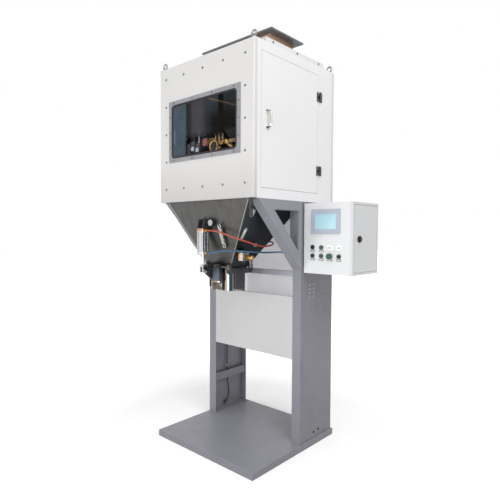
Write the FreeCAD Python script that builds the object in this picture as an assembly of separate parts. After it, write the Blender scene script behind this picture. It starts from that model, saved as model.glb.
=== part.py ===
import FreeCAD, Part
import math
import os

os.makedirs("parts", exist_ok=True)
V = FreeCAD.Vector

# Base plate, columns and cabinet
cabinet_width = 820.0
cabinet_depth = 790.0
cabinet_height = 855.0
cabinet_bottom = 1550.0
cabinet_sheet = 2.5
cover_depth = 25.0
cover_bend = 8.0
seam_chamfer = 1.0
flange_return = 85.0
base_lip = 10.0
base_height = 40.0
base_deck = 6.0
base_rib = 6.0
base_bay_columns = 4
base_bay_rows = 4
column_width = 65.0
column_depth = 349.0
column_sheet = 4.0
column_rear_return = 42.0
brace_height = 57.0
brace_bottom = 262.0
brace_thickness = 5.0
brace_stand_off = 26.0
vent_hole = 10.0
vent_pitch_z = 25.4
vent_rows = 4
vent_bottom = 956.0
vent_columns = (96.0, 142.0, 229.0)
rail_height = 32.0
rail_depth = 30.0
rail_bottom = 1088.0

# Gussets under the cabinet
gusset_reach = 400.0
gusset_drop = 419.0
gusset_tube = 58.0
gusset_top_bar = 57.0
gusset_post = 32.0

# Panels between the columns
panel_sheet = 2.0
panel_fold = 20.0
front_panel_bottom = 566.0
front_panel_top = 960.0
back_panel_bottom = 620.0
panel_gap = 0.3

# Roof lid and inlet
lid_height = 25.0
lid_front_setback = 95.0
lid_rear_setback = 127.0
neck_length = 512.0
neck_depth = 225.0
neck_y = 33.0
neck_wall = 4.0
neck_height = 130.0
flange_length = 608.0
flange_depth = 320.0
flange_thickness = 10.0
flange_hole = 11.0
flange_hole_inset = 24.0
flange_hole_inner_span_x = 280.0

# Window in the front cover
window_margin = 99.0
window_height = 382.0
window_rise = 250.0
window_frame_width = 24.0
window_frame_thickness = 6.0
window_corner = 26.0
gasket_width = 12.0
glass_thickness = 5.0
fit_gap = 0.3

# Cabinet door
door_front = -336.0
door_rear = 209.0
door_rise = 59.0
door_height = 738.0
door_gap = 2.0
door_fold = 20.0
hinge_offset = 8.0
hinge_pin_radius = 4.0
hinge_clearance = 0.05
hinge_height = 58.0
hinge_leaf_width = 22.0
hinge_leaf_thickness = 4.0
hinge_barrel_radius = 7.5
hinge_y = 222.0
hinge_low_rise = 200.0
hinge_high_rise = 662.0
handle_y = -284.0
handle_rise = 387.0
handle_length = 98.0
handle_reach = 34.0
handle_rod = 7.0
handle_foot = 12.0

# Discharge hopper and spout
hopper_half_x = 365.0
hopper_front = -378.0
hopper_rear = 130.0
outlet_half_x = 105.0
outlet_half_y = 70.0
hopper_drop = 409.0
hopper_sheet = 3.0
hopper_rim = 10.0
hopper_rim_thickness = 4.0
notch_gap = 1.0
seat_gap = 0.02
spout_y = -187.0
spout_corner = 60.0
spout_wall = 3.0
spout_length = 141.0
spout_plate = 4.0

# Bag clamp mechanism
clamp_x = -30.0
pivot_offset = 98.0
pivot_rise = 9.0
half_swing = 15.0
cylinder_gap = 6.0
shaft_diameter = 16.0
shaft_clearance = 0.05
plate_inner = 109.0
plate_thickness = 8.0
plate_boss = 17.0
tongue_front = 43.0
tongue_rear = 42.0
tongue_rise = 12.0
plate_drop = 34.0
plate_corner = 14.0
hub_left = -8.0
hub_right = 42.0
hub_radius = 17.0
lever_thickness = 12.0
clevis_pin = 12.0
lever_end = 12.0
slot_clearance = 0.5
clevis_width = 36.0
clevis_depth = 30.0
clevis_gap = 20.0
clevis_height = 34.0
jaw_arm = 12.0
jaw_pad_half_width = 44.0
jaw_rise = 8.0
jaw_height = 58.0
hub_block_side = 8.0
jaw_thickness = 12.0
jaw_reach = 48.0
bag_gap = 1.5
cylinder_side = 56.0
cylinder_length = 160.0
cylinder_bore = 40.0
cylinder_cap = 22.0
piston_length = 20.0
rod_diameter = 16.0
rod_clearance = 0.2
rod_to_body = 92.0
bracket_plate = 6.0
bracket_half_width = 27.0
bracket_foot_rise = 14.0
bracket_foot_height = 44.0
boss_x = 34.0
boss_radius = 21.0
boss_length = 22.0

# Feed chute, gate and weigh hoppers
chute_half_x = 285.0
chute_y = -120.0
chute_half_y = 75.0
chute_rise = 680.0
chute_sheet = 3.0
gate_rise = 750.0
gate_radius = 108.0
gate_sheet = 3.0
gate_half_angle = 50.0
gate_arm_gap = 3.0
gate_pin = 12.0
weigh_inner = 20.0
weigh_outer = 305.0
weigh_front = -245.0
weigh_rear = -5.0
weigh_top_rise = 630.0
weigh_shoulder_rise = 450.0
weigh_bottom_rise = 375.0
mouth_inset_x = 30.0
mouth_inset_y = 40.0
weigh_sheet = 2.5
weigh_rim = 3.0
flap_drop = 12.0
flap_sheet = 3.0
flap_pin = 10.0
flap_hub = 9.0
flap_lug = 8.0
actuator_side = 44.0
actuator_length = 46.0
cell_side = 30.0
cell_length = 200.0
beam_side = 40.0
beam_y = 222.0
beam_rise = 485.0
post_width = 32.0
post_depth = 36.0
portal_rise = 240.0
portal_bar = 32.0
portal_half = 382.0

# Valve manifold behind the window
manifold_rise = 322.0
manifold_rail_side = 20.0
manifold_block_x = -215.0
manifold_valves = 5
manifold_pitch = 24.0
manifold_block_height = 18.0
manifold_block_rear = 12.0
valve_width = 20.0
valve_height = 48.0
valve_coil_height = 16.0
valve_port_radius = 5.5
valve_port_length = 14.0
valve_port_drop = 9.0
regulator_gap = 22.0
regulator_width = 29.0
regulator_height = 44.0
loop_offset = 104.0
loop_radius = 34.0
loop_tube = 5.0
loop_rise = 40.0
loop_seat_half = 12.0
bit_offset = 66.0
bit_pitch = 30.0
bit_radius = 8.0
bit_height = 26.0
bit_cap_radius = 5.0
bit_cap_height = 16.0

# Control box
box_gap = 5.0
box_width = 336.0
box_front = 63.0
box_depth = 305.0
box_bottom = 1115.0
box_height = 423.0
box_sheet = 2.0
box_rim = 15.0
box_door_gap = 2.0
box_door_fold = 16.0
box_pin = 4.0
box_bracket_low = 60.0
box_bracket_high = 100.0
box_bracket_height = 40.0
box_bracket_inset = 30.0
lock_y = 135.0
lock_rise = 209.0
lock_radius = 15.0
lock_height = 12.0
cam_length = 62.0
hmi_inset = 56.0
hmi_rise = 238.0
hmi_width = 200.0
hmi_height = 147.0
hmi_proud = 6.0
hmi_border_x = 27.0
hmi_border_z = 29.0
hmi_lap = 6.0
hmi_body_depth = 40.0
hmi_screen_sink = 2.5
hmi_screen_thickness = 1.0
button_inset = 66.0
button_pitch_x = 60.5
button_rise = 107.5
button_pitch_z = 50.5
bezel_radius = 15.0
bezel_height = 4.0
button_radius = 9.5
button_proud = 8.0
button_shaft = 5.0
button_barrel = 11.0
button_travel = 4.0
large_button_radius = 17.0
button_clearance = 0.3

# Lifting eyes and screws
eye_ring = 16.0
eye_wire = 5.0
eye_base = 14.0
eye_inset = 24.0
screw_head = 6.5
screw_head_height = 3.0
screw_shank = 4.0
cover_screw_inset = 65.0
window_screw = 3.0
lid_screw_positions = (-239.0, -16.0, 207.0)

# Hose fittings, air valve and the tab beside the hopper
fitting_length = 14.0
fitting_collar = 4.0
fitting_wide = 8.0
fitting_thin = 6.0
gusset_port_y = -10.0
gusset_port_rise = 99.0
gland_y = 207.0
gland_z = 690.0
gland_nut = 10.0
gland_block_side = 24.0
gland_block_height = 20.0
air_valve_rise = 51.0
air_valve_height = 48.0
air_valve_width = 34.0
air_valve_front = -262.0
air_valve_depth = 56.0
air_valve_gap = 4.0
air_coil_height = 15.0
air_coil_inset = 3.0
air_coil_depth = 36.0
air_stem_side = 24.0
air_stem_width = 20.0
tab_inset = 12.0
tab_width = 24.0
tab_sheet = 4.0
tab_set_back = 8.0
tab_height = 102.0
tab_foot = 28.0
tab_bolt_radius = 9.0
tab_bolt_length = 7.0
tab_bolt_drop = 50.0

# Cords
hose_diameter = 10.0
cable_diameter = 8.0
cable_drop = 54.0
cable_plug_length = 34.0
plug_collar_radius = 6.5
plug_body_radius = 8.5
plug_collar_length = 10.0
plug_socket_depth = 8.0

# Places worked out from the sizes above
half_w = cabinet_width / 2
front = -cabinet_depth / 2
back = cabinet_depth / 2
cabinet_top = cabinet_bottom + cabinet_height
column_front = back - column_depth
column_inner = half_w - column_width
shell_front = front + cover_depth
shell_back = back - cover_depth
lid_top = cabinet_top + lid_height
lid_front = front + lid_front_setback
lid_rear = back - lid_rear_setback
flange_bottom = lid_top + neck_height
flange_top = flange_bottom + flange_thickness
door_bottom = cabinet_bottom + door_rise
door_top = door_bottom + door_height
hinge_low = cabinet_bottom + hinge_low_rise
hinge_high = cabinet_bottom + hinge_high_rise
handle_bottom = cabinet_bottom + handle_rise
window_bottom = cabinet_bottom + window_rise
chute_bottom = cabinet_bottom + chute_rise
gate_axis_z = cabinet_bottom + gate_rise
weigh_top = cabinet_bottom + weigh_top_rise
weigh_shoulder = cabinet_bottom + weigh_shoulder_rise
weigh_bottom = cabinet_bottom + weigh_bottom_rise
beam_z = cabinet_bottom + beam_rise
portal_top = cabinet_bottom + portal_rise
manifold_rail_z = cabinet_bottom + manifold_rise
flange_hole_span_x = flange_length - 2 * flange_hole_inset
flange_hole_span_y = flange_depth - 2 * flange_hole_inset
window_top = window_bottom + window_height
box_left = half_w + box_gap
box_right = box_left + box_width
box_rear = box_front + box_depth
box_top = box_bottom + box_height
lock_z = box_bottom + lock_rise
hmi_z = box_bottom + hmi_rise
button_z = box_bottom + button_rise
hmi_x = box_left + hmi_inset
button_x = box_left + button_inset
neck_front = neck_y - neck_depth / 2
neck_rear = neck_y + neck_depth / 2
outlet_front = spout_y - outlet_half_y
outlet_rear = spout_y + outlet_half_y
window_width = cabinet_width - 2 * window_margin
outlet_z = cabinet_bottom - hopper_drop
spout_bottom = outlet_z - spout_length
pivot_height = outlet_z + pivot_rise
tongue_bottom = spout_bottom + tongue_rise
jaw_bottom = spout_bottom + jaw_rise
jaw_top = jaw_bottom + jaw_height
front_slope = (outlet_front - hopper_front) / hopper_drop
rear_lean = math.degrees(math.atan2(hopper_rear - outlet_rear, hopper_drop))
cylinder_reach = pivot_rise + rod_to_body + cylinder_length
lever_room = outlet_half_y - pivot_offset + cylinder_side / 2 + cylinder_gap + front_slope * cylinder_reach
lever_arm = lever_room / (1 + front_slope * math.tan(math.radians(half_swing)))
gusset_port = (column_inner, gusset_port_y, outlet_z + gusset_port_rise)
gland_x = -(half_w - column_sheet - brace_stand_off / 2)


def box(x0, y0, z0, x1, y1, z1):
    return Part.makeBox(x1 - x0, y1 - y0, z1 - z0, V(x0, y0, z0))


def cylinder(radius, start, direction, length):
    return Part.makeCylinder(radius, length, V(*start), V(*direction))


def fuse(shapes):
    shapes = list(shapes)
    joined = shapes[0].multiFuse(shapes[1:]) if len(shapes) > 1 else shapes[0]
    return joined.removeSplitter()


def cut(shape, tools):
    tools = list(tools)
    return shape.cut(tools) if tools else shape


def face_yz(points, x):
    loop = [V(x, y, z) for y, z in points]
    return Part.Face(Part.makePolygon(loop + [loop[0]]))


def prism_x(points, x0, x1):
    return face_yz(points, x0).extrude(V(x1 - x0, 0, 0))


def rectangle(cx, cy, half_x, half_y, z):
    corners = [(-1, -1), (1, -1), (1, 1), (-1, 1), (-1, -1)]
    return Part.makePolygon([V(cx + a * half_x, cy + b * half_y, z) for a, b in corners])


def rounded_column(cx, cy, half_x, half_y, corner, z0, z1):
    column = box(cx - half_x, cy - half_y, z0, cx + half_x, cy + half_y, z1)
    upright = [e for e in column.Edges if abs(e.Vertexes[0].Z - e.Vertexes[1].Z) > 1e-6]
    return column.makeFillet(corner, upright)


def frustum(low, high):
    return Part.makeLoft([rectangle(*low), rectangle(*high)], True, True)


def rounded_plate(cx, cz, width, height, corner, y0, y1):
    plate = box(cx - width / 2, y0, cz - height / 2, cx + width / 2, y1, cz + height / 2)
    upright = [e for e in plate.Edges if abs(e.Length - (y1 - y0)) < 1e-6]
    edges = [e for e in upright if abs(e.Vertexes[0].Y - e.Vertexes[1].Y) > 1e-6]
    return plate.makeFillet(corner, edges) if corner > 0 else plate


def mirrored_x(shape):
    return shape.mirror(V(0, 0, 0), V(1, 0, 0))


def save(name, shapes):
    shapes = shapes if isinstance(shapes, list) else [shapes]
    solids = [solid for shape in shapes for solid in shape.Solids]
    result = solids[0] if len(solids) == 1 else Part.makeCompound(solids)
    result.exportStep("parts/" + name + ".step")
    return result


# Base plate: folded deck with a skirt and ribs under it

def make_base():
    x = half_w + base_lip
    y = back + base_lip
    plate = box(-x, -y, 0, x, y, base_height)
    top_edges = [e for e in plate.Edges if e.Vertexes[0].Z > 1 and e.Vertexes[-1].Z > 1]
    plate = plate.makeFillet(3, top_edges)
    step_x = (2 * x - base_rib) / base_bay_columns
    step_y = (2 * y - base_rib) / base_bay_rows
    pockets = []
    for i in range(base_bay_columns):
        for j in range(base_bay_rows):
            px = -x + base_rib + i * step_x
            py = -y + base_rib + j * step_y
            pockets.append(box(px, py, -1, px + step_x - base_rib, py + step_y - base_rib,
                               base_height - base_deck))
    return cut(plate, pockets)


# Columns: folded channels, open towards the middle of the machine

def make_column(with_vents):
    outer = box(column_inner, column_front, base_height, half_w, back, cabinet_bottom)
    hollow = box(column_inner - 1, column_front + column_sheet, base_height - 1,
                 half_w - column_sheet, back - column_sheet, cabinet_bottom + 1)
    rear_slot = box(column_inner - 1, back - column_sheet - 1, base_height - 1,
                    half_w - column_rear_return, back + 1, cabinet_bottom + 1)
    column = cut(outer, [hollow, rear_slot])
    bar_x = half_w - column_sheet - brace_stand_off
    brace = box(bar_x - brace_thickness, column_front + column_sheet - 1, brace_bottom,
                bar_x, back - column_sheet + 1, brace_bottom + brace_height)
    column = fuse([column, brace])
    foot = box(column_inner, column_front + column_sheet, base_height, half_w - column_sheet,
               back - column_sheet, base_height + column_sheet)
    column = fuse([column, foot])
    if with_vents:
        holes = []
        for y in vent_columns:
            for row in range(vent_rows):
                z = vent_bottom + row * vent_pitch_z
                holes.append(cylinder(vent_hole / 2, (half_w - column_sheet - 1, column_front + y, z),
                                      (1, 0, 0), column_sheet + 2))
        column = cut(column, holes)
    return column


def gusset_line(y):
    return cabinet_bottom - gusset_drop * (y - (column_front - gusset_reach)) / gusset_reach


def make_gusset():
    y0 = column_front - gusset_reach
    outline = [(y0, cabinet_bottom), (column_front, cabinet_bottom),
               (column_front, cabinet_bottom - gusset_drop)]
    plate = prism_x(outline, column_inner, half_w)
    slope = math.hypot(gusset_reach, gusset_drop) / gusset_reach
    lift = gusset_tube * slope
    hole_top = cabinet_bottom - gusset_top_bar
    hole_rear = column_front - gusset_post
    hole_low = gusset_line(hole_rear) + lift
    hole_front = y0 + gusset_reach * (cabinet_bottom + lift - hole_top) / gusset_drop
    hole = prism_x([(hole_front, hole_top), (hole_rear, hole_top), (hole_rear, hole_low)],
                   column_inner - 1, half_w + 1)
    return plate.cut(hole)


def make_tray(x0, y0, z0, x1, y1, z1, sheet_thickness, open_to):
    outer = box(x0, y0, z0, x1, y1, z1)
    t = sheet_thickness
    if open_to == "+y":
        inner = box(x0 + t, y0 + t, z0 + t, x1 - t, y1 + 1, z1 - t)
    elif open_to == "-y":
        inner = box(x0 + t, y0 - 1, z0 + t, x1 - t, y1 - t, z1 - t)
    elif open_to == "-x":
        inner = box(x0 - 1, y0 + t, z0 + t, x1 - t, y1 - t, z1 - t)
    else:
        inner = box(x0 + t, y0 + t, z0 - 1, x1 - t, y1 - t, z1 - t)
    return outer.cut(inner)


# Cabinet: welded shell, open to the front and rear, with the door opening on the right

def make_shell():
    t = cabinet_sheet
    shell = box(-half_w, shell_front, cabinet_bottom, half_w, shell_back, cabinet_top)
    ring = [e for e in shell.Edges if abs(e.Vertexes[0].Y - e.Vertexes[1].Y) < 1e-6]
    shell = shell.makeChamfer(seam_chamfer, ring)
    inside = box(-half_w + t, shell_front + t, cabinet_bottom + t,
                 half_w - t, shell_back - t, cabinet_top - t)
    x = half_w - flange_return
    z0 = cabinet_bottom + flange_return
    z1 = cabinet_top - flange_return
    ends = box(-x, shell_front - 1, z0, x, shell_back + 1, z1)
    opening = box(half_w - 2 * t, door_front - door_gap, door_bottom - door_gap,
                  half_w + 1, door_rear + door_gap, door_top + door_gap)
    h = hopper_sheet + fit_gap
    floor_hole = box(-hopper_half_x + h + hopper_rim, hopper_front + h + hopper_rim, cabinet_bottom - 1,
                     hopper_half_x - h - hopper_rim, hopper_rear - h, cabinet_bottom + t + 1)
    w = neck_wall
    roof_hole = box(-neck_length / 2 + w, neck_front + w, cabinet_top - t - 1,
                    neck_length / 2 - w, neck_rear - w, cabinet_top + 1)
    lips = door_rim()
    return fuse([cut(shell, [inside, ends, opening, floor_hole, roof_hole]), lips])


def door_rim():
    t = cabinet_sheet
    y0 = door_front - door_gap
    y1 = door_rear + door_gap
    z0 = door_bottom - door_gap
    z1 = door_top + door_gap
    depth = door_fold + 2 * t
    rim = box(half_w - depth, y0 - t, z0 - t, half_w - t / 2, y1 + t, z1 + t)
    return rim.cut(box(half_w - depth - 1, y0, z0, half_w + 1, y1, z1))


def make_cover(sign):
    y_face = sign * back
    y_inner = sign * (back - cover_depth)
    y0, y1 = min(y_face, y_inner), max(y_face, y_inner)
    cover = box(-half_w, y0, cabinet_bottom, half_w, y1, cabinet_top)
    corner = [e for e in cover.Edges if abs(e.Vertexes[0].Y - y_face) < 1e-6
              and abs(e.Vertexes[1].Y - y_face) < 1e-6]
    cover = cover.makeFillet(cover_bend, corner)
    t = cabinet_sheet
    inner = box(-half_w + t, y0 - 1 if sign > 0 else y0 + t, cabinet_bottom + t,
                half_w - t, y1 - t if sign > 0 else y1 + 1, cabinet_top - t)
    inner_corner = [e for e in inner.Edges if abs(e.Vertexes[0].Y - (y_face - sign * t)) < 1e-6
                    and abs(e.Vertexes[1].Y - (y_face - sign * t)) < 1e-6]
    inner = inner.makeFillet(max(cover_bend - t, 0.5), inner_corner)
    return cover.cut(inner)


def cover_screw_places():
    step_x = (cabinet_width - 2 * cover_screw_inset) / 4
    step_z = (cabinet_height - 2 * cover_screw_inset - 26) / 4
    places = []
    for i in range(5):
        for k in range(5):
            if i in (0, 4) or k in (0, 4):
                x = -half_w + cover_screw_inset + i * step_x
                z = cabinet_bottom + cover_screw_inset + 18 + k * step_z
                places.append((x, z))
    return places


def screw_y(x, z, face, sign, head, shank, length):
    head_solid = cylinder(head, (x, face, z), (0, sign, 0), screw_head_height)
    rim = [e for e in head_solid.Edges if abs(e.Vertexes[0].Y - (face + sign * screw_head_height)) < 1e-6
           and e.Length > 1.5 * math.pi * head]
    head_solid = head_solid.makeFillet(1.0, rim[:1])
    return fuse([head_solid, cylinder(shank, (x, face, z), (0, -sign, 0), length)])


def screw_holes_y(places, face, sign, shank, length):
    return [cylinder(shank, (x, face + sign, z), (0, -sign, 0), length + 2) for x, z in places]


def window_screw_places():
    inset = window_frame_width / 2
    zs = (window_bottom + inset, window_top - inset)
    xs = [(-1.5 + i) * (window_width - 2 * inset) / 3.4 for i in range(4)]
    places = [(x, z) for x in xs for z in zs]
    for x in (-window_width / 2 + inset, window_width / 2 - inset):
        for k in range(3):
            places.append((x, window_bottom + window_height * (k + 1) / 4))
    return places


def make_window():
    cx = 0.0
    cz = (window_bottom + window_top) / 2
    y_out = front - window_frame_thickness
    clear_w = window_width - 2 * window_frame_width
    clear_h = window_height - 2 * window_frame_width
    frame = rounded_plate(cx, cz, window_width, window_height, 4.0, y_out, front)
    hole = rounded_plate(cx, cz, clear_w, clear_h, window_corner, y_out - 1, front + 1)
    frame = frame.cut(hole)
    g = fit_gap
    gasket = rounded_plate(cx, cz, clear_w - 2 * g, clear_h - 2 * g, window_corner - g,
                           front - 4, front + cabinet_sheet + 2)
    inner_w = clear_w - 2 * gasket_width
    inner_h = clear_h - 2 * gasket_width
    inner_corner = window_corner - gasket_width
    gasket = gasket.cut(rounded_plate(cx, cz, inner_w, inner_h, inner_corner, front - 5,
                                      front + cabinet_sheet + 3))
    glass = rounded_plate(cx, cz, inner_w - 2 * g, inner_h - 2 * g, inner_corner - g,
                          front - 2, front - 2 + glass_thickness)
    opening = rounded_plate(cx, cz, clear_w, clear_h, window_corner, front - 1, front + cabinet_sheet + 1)
    return frame, gasket, glass, opening


# Door on the right side of the cabinet

def make_cabinet_door():
    return make_tray(half_w - door_fold, door_front, door_bottom, half_w, door_rear, door_top,
                     cabinet_sheet, "-x")


def make_hinge(z_middle):
    axis_x = half_w + hinge_offset
    axis_y = hinge_y
    third = hinge_height / 3
    z0 = z_middle - hinge_height / 2
    z1 = z0 + hinge_height
    r = hinge_barrel_radius
    t = hinge_leaf_thickness
    low_top = z0 + third - 0.2
    mid_low = z0 + third + 0.2
    mid_top = z0 + 2 * third - 0.2
    high_low = z0 + 2 * third + 0.2
    y_far = axis_y + hinge_leaf_width + 4
    fixed = [box(half_w, axis_y + r + 1, z0, half_w + t, y_far, z1)]
    for low, high in ((z0, low_top), (high_low, z1)):
        fixed.append(cylinder(r, (axis_x, axis_y, low), (0, 0, 1), high - low))
        fixed.append(box(half_w + 1, axis_y, low, half_w + t, axis_y + r + 2, high))
    bore = cylinder(hinge_pin_radius + hinge_clearance, (axis_x, axis_y, z0 - 1), (0, 0, 1), hinge_height + 2)
    fixed_solid = fuse(fixed).cut(bore)
    y_near = axis_y - hinge_leaf_width - 4
    moving = [box(half_w, y_near, z0, half_w + t, door_rear - 1, z1),
              box(half_w + 1, y_near, mid_low, half_w + t, axis_y, mid_top),
              cylinder(r, (axis_x, axis_y, mid_low), (0, 0, 1), mid_top - mid_low),
              cylinder(hinge_pin_radius, (axis_x, axis_y, z0), (0, 0, 1), hinge_height)]
    return fixed_solid, fuse(moving)


def make_handle():
    z0 = handle_bottom
    z1 = handle_bottom + handle_length
    x_out = half_w + handle_reach - handle_rod
    r = handle_rod
    bend = 12.0
    inset = r + 2
    path = Part.Wire([
        Part.LineSegment(V(half_w, handle_y, z0 + inset), V(x_out - bend, handle_y, z0 + inset)).toShape(),
        Part.Arc(V(x_out - bend, handle_y, z0 + inset),
                 V(x_out - bend * (1 - math.sin(math.pi / 4)), handle_y,
                   z0 + inset + bend * (1 - math.cos(math.pi / 4))),
                 V(x_out, handle_y, z0 + inset + bend)).toShape(),
        Part.LineSegment(V(x_out, handle_y, z0 + inset + bend),
                         V(x_out, handle_y, z1 - inset - bend)).toShape(),
        Part.Arc(V(x_out, handle_y, z1 - inset - bend),
                 V(x_out - bend * (1 - math.cos(math.pi / 4)), handle_y,
                   z1 - inset - bend * (1 - math.sin(math.pi / 4))),
                 V(x_out - bend, handle_y, z1 - inset)).toShape(),
        Part.LineSegment(V(x_out - bend, handle_y, z1 - inset), V(half_w, handle_y, z1 - inset)).toShape()])
    ring = Part.Wire([Part.makeCircle(r, V(half_w, handle_y, z0 + inset), V(1, 0, 0))])
    bar = path.makePipeShell([ring], True, False)
    feet = [cylinder(handle_foot, (half_w, handle_y, z), (1, 0, 0), 5) for z in (z0 + inset, z1 - inset)]
    return fuse([bar] + feet)


# Roof lid, inlet neck and flange

def make_lid():
    t = cabinet_sheet
    lid = make_tray(-half_w, lid_front, cabinet_top, half_w, lid_rear, lid_top, t, "-z")
    w = neck_wall
    hole = box(-neck_length / 2 + w, neck_front + w, cabinet_top - 1,
               neck_length / 2 - w, neck_rear - w, lid_top + 1)
    return lid.cut(hole)


def make_neck():
    outer = box(-neck_length / 2, neck_front, lid_top - 1, neck_length / 2, neck_rear, flange_bottom)
    w = neck_wall
    return outer.cut(box(-neck_length / 2 + w, neck_front + w, lid_top - 2,
                         neck_length / 2 - w, neck_rear - w, flange_bottom + 1))


def flange_hole_places():
    spans = (flange_hole_span_x, flange_hole_inner_span_x)
    return [(sx * span / 2, neck_y + sy * flange_hole_span_y / 2)
            for span in spans for sx in (-1, 1) for sy in (-1, 1)]


def make_inlet_flange():
    plate = box(-flange_length / 2, neck_y - flange_depth / 2, flange_bottom,
                flange_length / 2, neck_y + flange_depth / 2, flange_top)
    w = neck_wall
    tools = [box(-neck_length / 2 + w, neck_front + w, flange_bottom - 1,
                 neck_length / 2 - w, neck_rear - w, flange_top + 1)]
    for x, y in flange_hole_places():
        tools.append(cylinder(flange_hole / 2, (x, y, flange_bottom - 1), (0, 0, 1), flange_thickness + 2))
    return cut(plate, tools)


def make_lifting_eye(x, y):
    z = cabinet_top
    base = cylinder(eye_base, (x, y, z), (0, 0, 1), 6)
    neck = cylinder(eye_wire + 1, (x, y, z + 6), (0, 0, 1), 6)
    ring = Part.makeTorus(eye_ring, eye_wire, V(x, y, z + 10 + eye_ring), V(0, 1, 0))
    return fuse([base, neck, ring])


# Discharge hopper and spout

def hopper_front_y(z):
    return outlet_front + (hopper_front - outlet_front) * (z - outlet_z) / (cabinet_bottom - outlet_z)


def hopper_rear_y(z):
    return outlet_rear + (hopper_rear - outlet_rear) * (z - outlet_z) / (cabinet_bottom - outlet_z)


def hopper_right_x(z):
    return outlet_half_x + (hopper_half_x - outlet_half_x) * (z - outlet_z) / (cabinet_bottom - outlet_z)


def corners(half_x, y0, y1):
    return [(-half_x, y0), (half_x, y0), (half_x, y1), (-half_x, y1)]


def slab(low, low_z, high, high_z):
    wires = [Part.makePolygon([V(x, y, z) for x, y in points + points[:1]])
             for points, z in ((low, low_z), (high, high_z))]
    return Part.makeLoft(wires, True, True)


def make_hopper():
    t = hopper_sheet
    low = corners(outlet_half_x, outlet_front, outlet_rear)
    low_in = corners(outlet_half_x - t, outlet_front + t, outlet_rear - t)
    high = corners(hopper_half_x, hopper_front, hopper_rear)
    high_in = corners(hopper_half_x - t, hopper_front + t, hopper_rear - t)
    plates = []
    for k in range(4):
        n = (k + 1) % 4
        plates.append(slab([low[k], low[n], low_in[n], low_in[k]], outlet_z,
                           [high[k], high[n], high_in[n], high_in[k]], cabinet_bottom))
    front_plate, right_plate, rear_plate, left_plate = plates
    sides = [left_plate, right_plate]
    z0 = cabinet_bottom - hopper_rim_thickness
    z1 = cabinet_bottom
    front_rim = box(-hopper_half_x, hopper_front - hopper_rim, z0, hopper_half_x, hopper_front + 2, z1)
    rear_rim = box(-hopper_half_x, hopper_rear - 2, z0, hopper_half_x, hopper_rear + hopper_rim, z1)
    return [cut(fuse([front_plate, front_rim]), sides), cut(fuse([rear_plate, rear_rim]), sides)] + sides


def hopper_envelope(g):
    cy = (hopper_front + hopper_rear) / 2
    hy = (hopper_rear - hopper_front) / 2
    body = frustum((0, spout_y, outlet_half_x + g, outlet_half_y + g, outlet_z),
                   (0, cy, hopper_half_x + g, hy + g, cabinet_bottom + 0.01))
    rear = box(-hopper_half_x - g, hopper_rear - 4, cabinet_bottom - hopper_rim_thickness - g,
               hopper_half_x + g, hopper_rear + hopper_rim + g, cabinet_bottom + 1)
    return fuse([body, rear])


def make_spout():
    hx = outlet_half_x
    hy = outlet_half_y
    r = spout_corner
    w = spout_wall
    tube = rounded_column(0, spout_y, hx, hy, r, spout_bottom, outlet_z - spout_plate)
    plate = box(-hx, spout_y - hy, outlet_z - spout_plate, hx, spout_y + hy, outlet_z)
    bore = rounded_column(0, spout_y, hx - w, hy - w, r - w, spout_bottom - 1, outlet_z + 1)
    return fuse([tube, plate]).cut(bore)


# Bag clamp: front side is -1, rear side is 1; the front line is upright, the rear line leans

def lean_of(side):
    return 0.0 if side < 0 else math.radians(rear_lean)


def pivot_of(side):
    return (spout_y + side * pivot_offset, pivot_height)


def stroke_half():
    return lever_arm * math.tan(math.radians(half_swing))


def pin_at_rest(side):
    py, pz = pivot_of(side)
    a = lean_of(side)
    t = stroke_half()
    return (py + side * (lever_arm * math.cos(a) - t * math.sin(a)),
            pz - lever_arm * math.sin(a) - t * math.cos(a))


def set_on_line(shape, side):
    ly, lz = pin_at_rest(side)
    placed = shape.copy()
    placed.rotate(V(0, 0, 0), V(1, 0, 0), -side * math.degrees(lean_of(side)))
    placed.translate(V(clamp_x, ly, lz))
    return placed


def make_side_plate(sign):
    fy, fz = pivot_of(-1)
    ry, rz = pivot_of(1)
    b = plate_boss
    low = outlet_z - plate_drop
    c = plate_corner
    outline = [(fy - b, fz), (fy - b, low + c), (fy - b + c, low), (spout_y - tongue_front, low),
               (spout_y - tongue_front, tongue_bottom), (spout_y + tongue_rear, tongue_bottom),
               (spout_y + tongue_rear, low), (ry + b - c, low), (ry + b, low + c), (ry + b, rz),
               (ry - b, rz), (ry - b, outlet_z - 3), (fy + b, outlet_z - 3), (fy + b, fz)]
    x0 = plate_inner
    x1 = plate_inner + plate_thickness
    parts = [prism_x(outline, x0, x1)]
    holes = []
    for y, z in ((fy, fz), (ry, rz)):
        parts.append(cylinder(b, (x0, y, z), (1, 0, 0), plate_thickness))
        holes.append(cylinder(shaft_diameter / 2 + shaft_clearance, (x0 - 1, y, z), (1, 0, 0),
                              plate_thickness + 2))
    flat = outlet_half_y - spout_corner
    parts.append(box(outlet_half_x, spout_y - flat, tongue_bottom + 10,
                     x0 + 1, spout_y + flat, outlet_z - 10))
    plate = cut(fuse(parts), holes)
    return plate if sign > 0 else mirrored_x(plate)


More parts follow.
